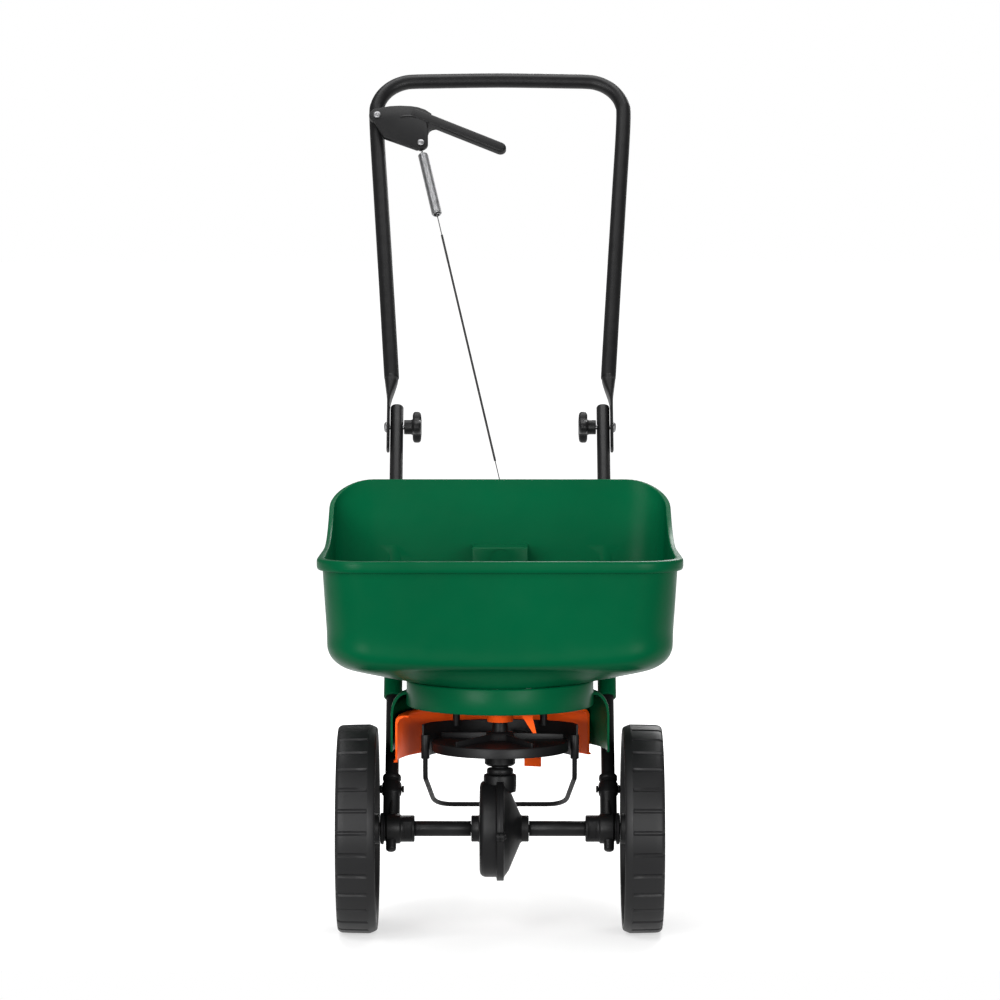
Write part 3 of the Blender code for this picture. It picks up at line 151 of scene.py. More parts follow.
def vary_roughness(material, source, low, high):
    nodes, links = material.node_tree.nodes, material.node_tree.links
    spread = nodes.new("ShaderNodeMapRange")
    spread.inputs["From Min"].default_value = 0.25
    spread.inputs["From Max"].default_value = 0.75
    spread.inputs["To Min"].default_value = low
    spread.inputs["To Max"].default_value = high
    links.new(source, spread.inputs["Value"])
    links.new(spread.outputs["Result"], nodes["Principled BSDF"].inputs["Roughness"])


def add_bump(material, source, distance):
    nodes, links = material.node_tree.nodes, material.node_tree.links
    bump = nodes.new("ShaderNodeBump")
    bump.inputs["Distance"].default_value = distance
    bump.inputs["Strength"].default_value = 1.0
    links.new(source, bump.inputs["Height"])
    links.new(bump.outputs["Normal"], nodes["Principled BSDF"].inputs["Normal"])


def shade(colour, factor):
    return tuple(channel * factor for channel in colour)


def moulded(name, colour, roughness, grain, depth, specular=0.3):
    """Injection-moulded plastic: a fine mould texture, a slow drift of colour and of gloss."""
    material = new_material(name, colour, roughness, specular=specular)
    vary_colour(material, noise(material, 7, 4), shade(colour, 0.93), shade(colour, 1.07))
    vary_roughness(material, noise(material, 40, 5), roughness - 0.05, roughness + 0.06)
    add_bump(material, noise(material, grain, 2), depth)
    return material


def powder_coated(name, colour, roughness):
    """Baked coating on steel tube, with its orange-peel surface."""
    material = new_material(name, colour, roughness, specular=0.17)
    vary_colour(material, noise(material, 30, 4), shade(colour, 0.9), shade(colour, 1.12))
    vary_roughness(material, noise(material, 90, 3), roughness - 0.06, roughness + 0.06)
    add_bump(material, noise(material, 420, 2), 0.00005)
    return material


def plated(name, colour, roughness):
    """Zinc-plated or drawn steel."""
    material = new_material(name, colour, roughness, metallic=1.0)
    vary_colour(material, noise(material, 200, 4), shade(colour, 0.82), shade(colour, 1.12))
    vary_roughness(material, noise(material, 300, 4), roughness - 0.06, roughness + 0.10)
    add_bump(material, noise(material, 700, 2), 0.00001)
    return material


GREEN = moulded("green_plastic", (0.0, 0.058, 0.0212), 0.33, 1500, 0.00003, 0.05)
ORANGE = moulded("orange_plastic", (0.74, 0.082, 0.006), 0.46, 1400, 0.00004, 0.07)
BLACK = moulded("black_plastic", (0.0048, 0.0048, 0.0051), 0.44, 1300, 0.00005, 0.15)
TREAD = moulded("wheel_plastic", (0.0066, 0.0066, 0.0070), 0.46, 900, 0.00008, 0.2)
COATED = powder_coated("black_steel", (0.0042, 0.0042, 0.0045), 0.42)
DULL = moulded("dull_coating", (0.0060, 0.0060, 0.0064), 0.62, 700, 0.00005, 0.08)
BRIGHT = plated("bright_steel", (0.22, 0.22, 0.225), 0.42)
SPRING = plated("spring_steel", (0.235, 0.235, 0.24), 0.36)
NYLON = moulded("white_nylon", (0.62, 0.60, 0.54), 0.42, 1200, 0.00004)
SHEATH = moulded("cable_plastic", (0.012, 0.012, 0.012), 0.42, 1600, 0.00003)
SLOT_MATERIALS = {
    "green_plastic": GREEN, "orange_plastic": ORANGE, "black_plastic": BLACK, "wheel_plastic": TREAD,
    "black_steel": COATED, "bright_steel": BRIGHT, "spring_steel": SPRING, "white_nylon": NYLON,
}

# ---------------------------------------------------------------- mesh tools


def object_from(name, work):
    work.normal_update()
    mesh = bpy.data.meshes.new(name)
    work.to_mesh(mesh)
    work.free()
    made = bpy.data.objects.new(name, mesh)
    bpy.context.scene.collection.objects.link(made)
    return made


def loft(name, rings, ring_loop=False):
    """Joins rings of equal length. With ring_loop the last ring meets the first."""
    work = bmesh.new()
    rows = [[work.verts.new(point) for point in ring] for ring in rings]
    count = len(rows[0])
    pairs = list(zip(rows, rows[1:]))
    if ring_loop:
        pairs.append((rows[-1], rows[0]))
    for low, high in pairs:
        for i in range(count):
            j = (i + 1) % count
            work.faces.new((low[i], low[j], high[j], high[i]))
    if not ring_loop:
        work.faces.new(rows[0][::-1])
        work.faces.new(rows[-1])
    bmesh.ops.recalc_face_normals(work, faces=work.faces)
    return object_from(name, work)


def circle(centre, radius, axis, count):
    side = Vector((0, -1, 0)) if abs(axis.y) < 0.9 else X_AXIS
    side = (side - axis * side.dot(axis)).normalized()
    other = axis.cross(side)
    return [centre + side * (radius * cos(tau * i / count)) + other * (radius * sin(tau * i / count))
            for i in range(count)]


def turned(name, base, axis, profile, count=64, hollow=False):
    """A turned solid from (radius, height) pairs along an axis."""
    axis = axis.normalized()
    rings = [circle(base + axis * height, radius, axis, count) for radius, height in profile]
    return loft(name, rings, ring_loop=hollow)


def rod(name, start, end, radius, count=24):
    return turned(name, start, end - start, [(radius, 0), (radius, (end - start).length)], count)


def extrusion(name, outline, offset):
    return loft(name, [outline, [point + offset for point in outline]])


def box(name, low, high):
    outline = [Vector((x, y, low[2])) for x, y in
               ((low[0], low[1]), (high[0], low[1]), (high[0], high[1]), (low[0], high[1]))]
    return extrusion(name, outline, Vector((0, 0, high[2] - low[2])))


def curve_through(points, steps):
    """A smooth line through points, each a Vector of any size."""
    made = []
    last = len(points) - 1
    for i in range(last):
        a, b = points[max(i - 1, 0)], points[i]
        c, d = points[i + 1], points[min(i + 2, last)]
        for k in range(steps):
            t = k / steps
            made.append(b + ((c - a) * t + (a * 2 - b * 5 + c * 4 - d) * t**2 + (b * 3 - c * 3 + d - a) * t**3) / 2)
    made.append(points[-1])
    return made


def rounded_path(points, radii, steps=10):
    path = [points[0]]
    for before, corner, after, radius in zip(points, points[1:], points[2:], radii):
        first, second = (before - corner).normalized(), (after - corner).normalized()
        reach = min(radius, (before - corner).length * 0.45, (after - corner).length * 0.45)
        start, end = corner + first * reach, corner + second * reach
        for i in range(steps + 1):
            t = i / steps
            path.append(start * (1 - t) ** 2 + corner * 2 * t * (1 - t) + end * t**2)
    path.append(points[-1])
    return path


def swept(name, path, radius, count=20):
    """A round wire along a path. radius is one number, or one per point."""
    rings = []
    side = X_AXIS
    for i, point in enumerate(path):
        along = (path[min(i + 1, len(path) - 1)] - path[max(i - 1, 0)]).normalized()
        side = (side - along * side.dot(along)).normalized()
        other = along.cross(side)
        r = radius[i] if isinstance(radius, list) else radius
        rings.append([point + side * (r * cos(tau * k / count)) + other * (r * sin(tau * k / count))
                      for k in range(count)])
    return loft(name, rings)


def arc(centre_x, centre_y, radius, start, end, steps):
    return [(centre_x + radius * cos(radians(start + (end - start) * i / steps)),
             centre_y + radius * sin(radians(start + (end - start) * i / steps))) for i in range(steps + 1)]


def applied(piece):
    graph = bpy.context.evaluated_depsgraph_get()
    mesh = bpy.data.meshes.new_from_object(piece.evaluated_get(graph))
    piece.modifiers.clear()
    piece.data = mesh
    return piece


def combine(target, others, operation, solver):
    for other in others:
        change = target.modifiers.new("change", "BOOLEAN")
        change.operation = operation
        change.solver = solver
        change.object = other
        applied(target)
        bpy.data.objects.remove(other, do_unlink=True)
    return target


def joined(target, *others, solver="EXACT"):
    return combine(target, others, "UNION", solver)


def cut(target, *others, solver="EXACT"):
    return combine(target, others, "DIFFERENCE", solver)


def kept_inside(target, other):
    return combine(target, [other], "INTERSECT", "EXACT")


def gathered(name, pieces):
    """One object from several meshes that touch or cross each other."""
    work = bmesh.new()
    for piece in pieces:
        applied(piece)
        work.from_mesh(piece.data)
        bpy.data.objects.remove(piece, do_unlink=True)
    return object_from(name, work)


def eased(piece, width, segments=2, angle=32):
    """Rounds the edges, and applies it, before the piece is gathered with others."""
    bevel = piece.modifiers.new("edge", "BEVEL")
    bevel.width = width
    bevel.segments = segments
    bevel.limit_method = "ANGLE"
    bevel.angle_limit = radians(angle)
    return applied(piece)


def smooth(piece, angle=38):
    piece.data.shade_smooth()
    piece.data.set_sharp_from_angle(angle=radians(angle))
    return piece


def shown(piece, body, material, slot, *nodes, angle=38):
    """Gives a piece its material, smooths it, and sets it on its body in place of CAD nodes."""
    smooth(piece, angle)
    piece.data.materials.clear()
    piece.data.materials.append(material)
    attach(piece, body)
    if nodes:
        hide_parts(*nodes)
    return piece


# ---------------------------------------------------------------- the tub


OUTLINE_STEPS = 12


def rounded_outline(half_x, front, rear, radius):
    """A rectangle with round corners, with the same number of points on every corner and side."""
    corners = ((half_x - radius, front + radius, -90), (half_x - radius, rear - radius, 0),
               (radius - half_x, rear - radius, 90), (radius - half_x, front + radius, 180))
    points = []
    for i, (x, y, start) in enumerate(corners):
        points += arc(x, y, radius, start, start + 90, OUTLINE_STEPS)
        next_x, next_y, next_start = corners[(i + 1) % 4]
        end = arc(next_x, next_y, radius, next_start, next_start, 1)[0]
        last = points[-1]
        for k in range(1, OUTLINE_STEPS):
            share = k / OUTLINE_STEPS
            points.append((last[0] + (end[0] - last[0]) * share, last[1] + (end[1] - last[1]) * share))
    return points


def rim_height(y):
    share = min(max((y - 0.02) / (RIM_REAR - 0.02), 0.0), 1.0)
    return RIM_Z + RIM_RISE * share**2.3


def lip_share(y):
    """The rolled lip is full at the front and slimmer along the sides and rear."""
    along = min(max((y + 0.12) / 0.16, 0.0), 1.0)
    return 1 - 0.45 * along * along * (3 - 2 * along)


def lip_ring(offset, drop):
    """A level of the rolled lip."""
    full = tub_ring(0, offset, drop)
    edge = tub_ring(0, 0)
    return [inner + (outer - inner) * lip_share(inner.y - AXLE.y) for outer, inner in zip(full, edge)]


def ahead(y):
    """0 at the sides and rear, 1 at the front wall."""
    return min(max((-y - 0.02) / 0.10, 0.0), 1.0)


def front_sag(x, y):
    """The front wall's foot is lowest in the middle and rises towards its corners."""
    return ahead(y) * (0.017 * (x / FOOT_X) ** 2 - 0.009)


def front_slope(share, x, y):
    """Ahead of the collar the floor climbs in a straight slope to the front wall's foot."""
    return ahead(y) * (1 - 0.9 * (x / FOOT_X) ** 2) * 0.043 * share**0.5 * (1 - share) ** 1.3


def tub_ring(share, offset, drop=0.0):
    """A level of the walls: share 0 is the rim and 1 the foot. offset widens it."""
    top = rounded_outline(RIM_X, RIM_FRONT, RIM_REAR, 0.05)
    low = rounded_outline(FOOT_X, FOOT_FRONT, FOOT_REAR, FOOT_CORNER)
    wide = rounded_outline(RIM_X + offset, RIM_FRONT - offset, RIM_REAR + offset, 0.05 + offset)
    ring = []
    for (tx, ty), (lx, ly), (wx, wy) in zip(top, low, wide):
        z = rim_height(ty) - drop
        z += (FOOT_Z + front_sag(lx, ly) - z) * share
        ring.append(at(tx + (lx - tx) * share + wx - tx, ty + (ly - ty) * share + wy - ty, z))
    return ring


def funnel_ring(share, height, offset, radius):
    """A level of the tub's bottom, from the walls' outline at share 0 to a circle at share 1."""
    start = rounded_outline(FOOT_X + offset, FOOT_FRONT - offset, FOOT_REAR + offset, FOOT_CORNER + offset)
    ring = []
    for x, y in start:
        along = atan2(y, x)
        z = height + front_sag(x, y) * (1 - share) ** 2 + front_slope(share, x, y)
        ring.append(at(x + (radius * cos(along) - x) * share, y + (radius * sin(along) - y) * share, z))
    return ring


def smooth_rings(rings, steps):
    """More rings between rings, on a smooth line through each corner of them."""
    columns = [curve_through([ring[i] for ring in rings], steps) for i in range(len(rings[0]))]
    return [list(row) for row in zip(*columns)]


OUTER_FLOOR = ((0.003, 0.351), (0.013, 0.3440), (0.045, 0.3365), (0.10, 0.3300), (0.18, 0.3245), (0.28, 0.3208),
               (0.40, 0.3182), (0.60, 0.3145), (0.80, 0.3105), (1.0, 0.3065))
INNER_FLOOR = tuple((share, height + 0.0032 if share < 1 else height) for share, height in OUTER_FLOOR)


def walls(offset, floor, radius, start_drop):
    rings = [tub_ring(share, offset, start_drop) for share in (0.0, 0.35, 0.7, 1.0)]
    rings += [funnel_ring(share, height, offset, radius) for share, height in floor]
    return smooth_rings(rings, 3)


def make_tub():
    lip = [(0.0, LIP_DEPTH), (LIP * 0.35, LIP_DEPTH - 0.0003), (LIP * 0.75, 0.0135), (LIP * 0.93, 0.0120),
           (LIP, 0.0095), (LIP, 0.0040), (LIP * 0.95, 0.0018), (LIP * 0.82, 0.0005), (LIP * 0.62, 0.0)]
    rings = [lip_ring(offset, drop) for offset, drop in reversed(lip)]
    rings += walls(0, OUTER_FLOOR, COLLAR_RADIUS - 0.003, LIP_DEPTH + 0.001)[1:]
    rings += walls(-WALL, INNER_FLOOR, COLLAR_RADIUS - 0.006, 0.0030)[::-1]
    rings += [tub_ring(0, -WALL * 0.93, 0.0014), tub_ring(0, -WALL * 0.72, 0.0004), tub_ring(0, -WALL * 0.4, 0.0)]
    tub = loft("tub", rings, ring_loop=True)

    inside = [tub_ring(0, -0.0015, 0.02)]
    inside += walls(-0.0012, OUTER_FLOOR, COLLAR_RADIUS - 0.0045, LIP_DEPTH + 0.01)[1:]
    for side in (-1, 1):
        x = side * TUBE_X
        channel = rod("channel", on_handle(x, 0.2), on_handle(x, 0.5), TUBE_RADIUS + 0.0036, 40)
        joined(tub, kept_inside(channel, loft("inside", inside)), solver="MANIFOLD")
        socket = turned("socket", on_handle(x, 0.1765), UP_TUBE,
                        [(0.0106, 0), (0.0114, 0.0010), (0.0114, 0.086)], 40)
        joined(tub, socket, solver="MANIFOLD")
    pocket = box("pocket", at(-POCKET_X, POCKET_Y, 0.335), at(POCKET_X, 0.24, POCKET_TOP))
    eased(pocket, 0.0016, 3)
    joined(tub, kept_inside(pocket, loft("inside", inside)), solver="MANIFOLD")
    for side in (-1, 1):
        x = side * TUBE_X
        bore = rod("bore", on_handle(x, 0.16), on_handle(x, 0.52), TUBE_RADIUS + 0.0004, 40)
        cut(tub, bore, solver="MANIFOLD")
    inset = 0.0030
    hollow = box("hollow", at(-POCKET_X + inset, POCKET_Y + inset, 0.33),
                 at(POCKET_X - inset, 0.26, POCKET_TOP - inset))
    cut(tub, hollow, solver="MANIFOLD")
    arch = [(x, z) for x, z in arc(0, 0.4350, 0.0135, 0, 180, 16)] + [(-0.0135, 0.36), (0.0135, 0.36)]
    recess = extrusion("arch", [at(x, POCKET_Y - 0.004, z) for x, z in arch], Y_AXIS * 0.0054)
    cut(tub, recess, solver="MANIFOLD")
    crank = centre_of("crank_screw")
    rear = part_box("bell_crank")[0][1] + 0.001
    boss = turned("boss", Vector((crank.x, AXLE.y + 0.176, crank.z)), Y_AXIS,
                  [(0.0105, 0), (0.0082, 0.016), (0.0080, rear - AXLE.y - 0.176)], 40)
    behind = [tub_ring(0, -0.0012, 0.0)] + walls(-0.0012, OUTER_FLOOR, COLLAR_RADIUS - 0.0045, LIP_DEPTH)[1:]
    cut(boss, loft("inside", behind))
    joined(tub, boss, solver="MANIFOLD")
    return shown(tub, "frame", GREEN, "green_plastic", "hopper", angle=30)


PORTS = (196, 232, 268)


def sector(low, high, start, end):
    outline = [at(0, 0, low)] + [at(x, y, low) for x, y in arc(0, 0, 0.3, start, end, 12)]
    return extrusion("sector", outline, Z_AXIS * (high - low))


def make_housing():
    """The collar with the tub's floor, and the shroud behind the impeller."""
    floor, radius = FLOOR_Z, COLLAR_RADIUS
    profile = [(0.0075, floor), (radius - 0.0016, floor - 0.002), (radius - 0.0004, floor - 0.0014),
               (radius, floor - 0.0002), (radius, COLLAR_TOP - 0.002), (radius - 0.0006, COLLAR_TOP - 0.0006),
               (radius - 0.0015, COLLAR_TOP), (radius - 0.004, COLLAR_TOP), (radius - 0.004, floor + 0.004),
               (0.0075, floor + 0.003)]
    housing = turned("collar", at(0, 0, 0), Z_AXIS, profile, 128, hollow=True)
    outer = [(radius - 0.002, 0.2915), (0.1195, 0.2885), (0.1262, 0.282), (0.1298, 0.273), (SHROUD_RADIUS, 0.262)]
    inner = [(0.1285, 0.262), (0.1272, 0.2715), (0.1238, 0.2795), (0.1185, 0.2855), (radius - 0.002, 0.2880)]
    low = 0.218
    bottom = [(SHROUD_RADIUS, low + 0.0006), (SHROUD_RADIUS - 0.0006, low), (SHROUD_RADIUS - SKIN + 0.0006, low),
              (SHROUD_RADIUS - SKIN, low + 0.0006)]
    line = [tuple(p) for p in curve_through([Vector(p) for p in outer], 3)]
    line += bottom + [tuple(p) for p in curve_through([Vector(p) for p in inner], 3)]
    shroud = turned("shroud", at(0, 0, 0), Z_AXIS, line, 128, hollow=True)
    joined(housing, kept_inside(shroud, sector(0.15, 0.35, -2, 182)))
    for start in PORTS:
        points = arc(0, 0, 0.052, start, start + 10, 6) + arc(0, 0, 0.026, start + 10, start, 6)
        cut(housing, extrusion("port", [at(x, y, 0.26) for x, y in points], Z_AXIS * 0.03))
    cut(housing, box("arm_slot", at(-0.005, 0.1135, 0.2642), at(0.070, 0.15, 0.2748)))
    return shown(housing, "frame", GREEN, "green_plastic", "impeller_housing")


# ---------------------------------------------------------------- shield, deflector, impeller


def make_shield():
    top, low, radius = 0.2625, 0.206, SHIELD_RADIUS
    profile = [(radius - SKIN, low), (radius + 0.0018, low), (radius + 0.0022, low + 0.0005),
               (radius + 0.0022, low + 0.0016), (radius + 0.0016, low + 0.0021), (radius, low + 0.0030),
               (radius, top - 0.008), (radius - 0.0008, top - 0.0045), (radius - 0.003, top - 0.002),
               (radius - 0.006, top - 0.0006), (radius - 0.010, top), (radius - 0.016, top),
               (radius - 0.016, top - SKIN), (radius - 0.010, top - SKIN), (radius - 0.005, top - 0.005),
               (radius - SKIN, top - 0.010)]
    shield = turned("shield", at(0, 0, 0), Z_AXIS, profile, 128, hollow=True)
    kept_inside(shield, sector(0.15, 0.35, 30, 184))
    points = arc(0, 0, radius - 0.0005, 66, 76, 4) + arc(0, 0, radius - 0.0035, 76, 66, 4)
    tab = extrusion("tab", [at(x, y, 0.184) for x, y in points], Z_AXIS * 0.03)
    shield = gathered("shield", [eased(shield, 0.0004), eased(tab, 0.0008, 3)])
    return shown(shield, "edge_shield", ORANGE, "orange_plastic", "edge_shield")


def make_deflector():
    outer = 0.0935
    inner = outer - SKIN
    wall = turned("deflector", at(0, 0, 0), Z_AXIS,
                  [(inner, 0.209), (outer, 0.209), (outer, 0.2505), (inner, 0.2505)], 96, hollow=True)
    kept_inside(wall, sector(0.15, 0.35, 0, 180))
    for vertex in wall.data.vertices:
        if vertex.co.z > 0.25:
            vertex.co.z -= 0.0050 * max(vertex.co.y - AXLE.y, 0.0) / outer
    pieces = [eased(wall, 0.0007, 3)]
    for angle in (55, 125):
        x, y = arc(0, 0, outer - SKIN / 2, angle, angle, 1)[0]
        pieces.append(rod("post", at(x, y, 0.24), at(x, y, 0.2742), 0.0045, 24))
    stand_x = size_of("rear_stand").x / 2 - 0.003
    for side in (-1, 1):
        pieces.append(eased(rod("sleeve", at(side * stand_x, 0.004, 0.209), at(side * stand_x, 0.004, 0.238),
                                0.0052, 28), 0.0006))
    return shown(gathered("deflector", pieces), "frame", BLACK, "black_plastic", "rear_deflector")


def make_impeller():
    top, radius = IMPELLER_TOP, IMPELLER_RADIUS
    low = top - IMPELLER_SKIRT
    profile = [(0.0053, 0.2015), (0.0155, 0.2015), (0.0164, 0.2020), (0.0186, 0.204), (0.0186, 0.2095),
               (0.020, 0.2285), (radius - 0.003, 0.2285), (radius - 0.0022, low + 0.0004), (radius - 0.0018, low),
               (radius - 0.0004, low), (radius, low + 0.0005), (radius, top - 0.0016), (radius - 0.0006, top - 0.0004),
               (radius - 0.0018, top), (0.024, top + 0.0008), (0.0195, top + 0.0020), (0.0170, top + 0.0060),
               (0.0162, top + 0.0092), (0.0150, top + 0.0102), (0.0100, top + 0.0113), (0.0095, top + 0.0125),
               (0.0090, 0.2530), (0.0083, 0.2537), (0.0053, 0.2537)]
    pieces = [turned("disc", at(0, 0, 0), Z_AXIS, profile, 96, hollow=True)]
    for i in range(5):
        turn = Matrix.Rotation(tau * i / 5 + 0.2, 4, "Z")
        outline = [Vector((0.014, -0.0011, top - 0.0012)), Vector((0.0775, -0.0011, top - 0.0012)),
                   Vector((0.0775, -0.0011, top + 0.0055)), Vector((0.014, -0.0011, top + 0.0090))]
        outline = [turn @ point + Vector((0, AXLE.y, 0)) for point in outline]
        vane = extrusion("vane", outline, turn.to_3x3() @ Vector((0, 0.0022, 0)))
        pieces.append(eased(vane, 0.0005, 2))
    return shown(gathered("impeller_disc", pieces), "impeller", BLACK, "black_plastic", "impeller")


# ---------------------------------------------------------------- gearbox, axle line


def screw_places():
    for angle in (270, 150, 30):
        y, z = arc(0, 0, 0.0655, angle - 90, angle - 90, 1)[0]
        yield AXLE + Vector((0, y, z))


def ears(start, end):
    """The screw ears round the gearbox flange, between two places along the axle."""
    return [eased(rod("ear", p + X_AXIS * start, p + X_AXIS * end, 0.0052, 32), 0.0004) for p in screw_places()]


def make_gearbox():
    radius = GEARBOX_RADIUS
    drum = [(0.0053, -0.0345), (0.0150, -0.0345), (0.0158, -0.0338), (0.0158, -0.0262), (0.0166, -0.0250),
            (radius - 0.0085, -0.0245), (radius - 0.0040, -0.0236), (radius - 0.0015, -0.0215), (radius, -0.0180),
            (radius, -0.0052), (0.0588, -0.0043), (0.0618, -0.0040), (0.0625, -0.0034), (0.0625, -0.0001),
            (0.0621, 0.0008), (0.0053, 0.0008)]
    pieces = [turned("drum", AXLE, X_AXIS, drum, 96, hollow=True)]
    tower = [(0.0190, 0.170), (0.0198, 0.176), (0.0198, 0.1886), (0.0192, 0.1902), (0.0180, 0.1908), (0.0053, 0.1908)]
    pieces.append(turned("tower", at(0, 0, 0), Z_AXIS, tower, 64))
    pieces += ears(-0.004, -0.0003)
    shown(gathered("gearbox_drum", pieces), "frame", BLACK, "black_plastic", "gearbox_housing")
    cone = [(0.0053, 0.00005), (0.0625, 0.00005), (0.0625, 0.0038), (0.0618, 0.0045), (radius + 0.001, 0.0047),
            (radius - 0.001, 0.0054), (0.0500, 0.0105), (0.0300, 0.0190), (0.0190, 0.0238), (0.0168, 0.0250),
            (0.0158, 0.0262), (0.0158, 0.0338), (0.0150, 0.0345), (0.0053, 0.0345)]
    pieces = [turned("cone", AXLE, X_AXIS, cone, 96, hollow=True)]
    pieces += ears(0.0003, 0.0045)
    shown(gathered("gearbox_cone", pieces), "frame", BLACK, "black_plastic", "gearbox_cover")


def make_bush():
    bush = turned("bush", at(0, 0, 0), Z_AXIS,
                  [(0.0053, 0.1913), (0.0140, 0.1913), (0.0155, 0.1919), (0.016, 0.1928), (0.016, 0.1962),
                   (0.0150, 0.1980), (0.0105, 0.1990), (0.0100, 0.1996), (0.0100, 0.2012), (0.0053, 0.2012)],
                  48, hollow=True)
    return shown(bush, "frame", BLACK, "black_plastic", "shaft_bush")


def make_bracket(side, name):
    along = X_AXIS * side
    start = at(side * 0.1025, 0, AXLE.z)
    sleeve = turned("sleeve", start, along,
                    [(0.0095, 0), (0.0150, 0), (0.0158, 0.0006), (0.0160, 0.0014), (0.0160, 0.0158), (0.0166, 0.0168),
                     (0.0176, 0.0173), (0.0180, 0.0180), (0.0180, 0.0328), (0.0170, 0.0340), (0.0150, 0.0348),
                     (0.0150, 0.0364), (0.0183, 0.0370), (0.0190, 0.0376), (0.0190, 0.0398), (0.0183, 0.0405),
                     (0.0165, 0.0410), (0.0053, 0.0410)], 64)
    slot_low = at(side * 0.1105 - 0.005, -0.03, AXLE.z - 0.0155)
    slot_high = at(side * 0.1105 + 0.005, -0.0125, AXLE.z + 0.0155)
    cut(sleeve, box("slot", slot_low, slot_high))
    x = side * TUBE_X
    socket = turned("socket", on_handle(x, 0), UP_TUBE,
                    [(0.0102, 0), (0.0102, 0.0442), (0.0108, 0.0452), (0.0118, 0.0460), (0.0118, 0.0588),
                     (0.0110, 0.0600), (0.0102, 0.0606), (0.0102, 0.0638), (0.0108, 0.0643), (0.0112, 0.0650),
                     (0.0112, 0.0688), (0.0107, 0.0698), (0.0098, 0.0701), (0.0088, 0.0701), (0.0088, 0.0675)], 48)
    nub = turned("nub", on_handle(x, -0.029), UP_TUBE,
                 [(0.0044, 0), (0.0056, 0.0008), (0.0062, 0.0022), (0.0068, 0.029)], 40)
    rib = extrusion("rib", [on_handle(x - 0.0013, 0.012, -0.015), on_handle(x - 0.0013, 0.040, -0.0085),
                            on_handle(x - 0.0013, 0.040, 0.0085), on_handle(x - 0.0013, 0.012, 0.015)],
                    X_AXIS * 0.0026)
    bracket = gathered("bracket_" + name, [sleeve, socket, nub, eased(rib, 0.0005)])
    return shown(bracket, "frame", BLACK, "black_plastic", "axle_bracket_" + name)


def make_axle_tube(side, name):
    tube = turned("axle_sleeve_" + name, at(side * 0.0348, 0, AXLE.z), X_AXIS * side,
                  [(0.0062, 0), (0.0089, 0), (0.0092, 0.0004), (0.0092, 0.0752), (0.0089, 0.0757), (0.0062, 0.0757)],
                  48, hollow=True)
    return shown(tube, "frame", COATED, "black_steel", "axle_tube_" + name)


def make_bracket_bolt(side, name):
    x = side * TUBE_X
    start = on_handle(x, 0.0524) - X_AXIS * side * 0.0148
    nut = turned("nut", start, X_AXIS * side, [(0.0042, 0), (0.0046, 0.0004), (0.0046, 0.0027), (0.0025, 0.0027)], 6)
    shank = turned("head", start, X_AXIS * side,
                   [(0.0025, 0.0020), (0.0025, 0.0266), (0.0052, 0.0267), (0.0052, 0.0274), (0.0047, 0.0288),
                    (0.0030, 0.0299)], 32)
    bolt = gathered("bracket_fixing_" + name, [nut, shank])
    return shown(bolt, "frame", COATED, "black_steel", "bracket_bolt_" + name)


# ---------------------------------------------------------------- wheels


def tread_radius(x, turn, width):
    """The tyre's radius at a place across it: cross grooves as far as a smooth band at the inner edge."""
    groove_start, groove_end = width * 0.20, width - 0.0006
    phase = (turn / (tau / TREAD_BARS)) % 1.0
    from_groove = min(phase, 1 - phase) * tau / TREAD_BARS * WHEEL_RADIUS
    depth = 0.0017 * min(max((0.0016 - from_groove) / 0.0007, 0.0), 1.0)
    share = min(max((x - groove_start) / 0.0012, 0.0), 1.0)
    return WHEEL_RADIUS - depth * share


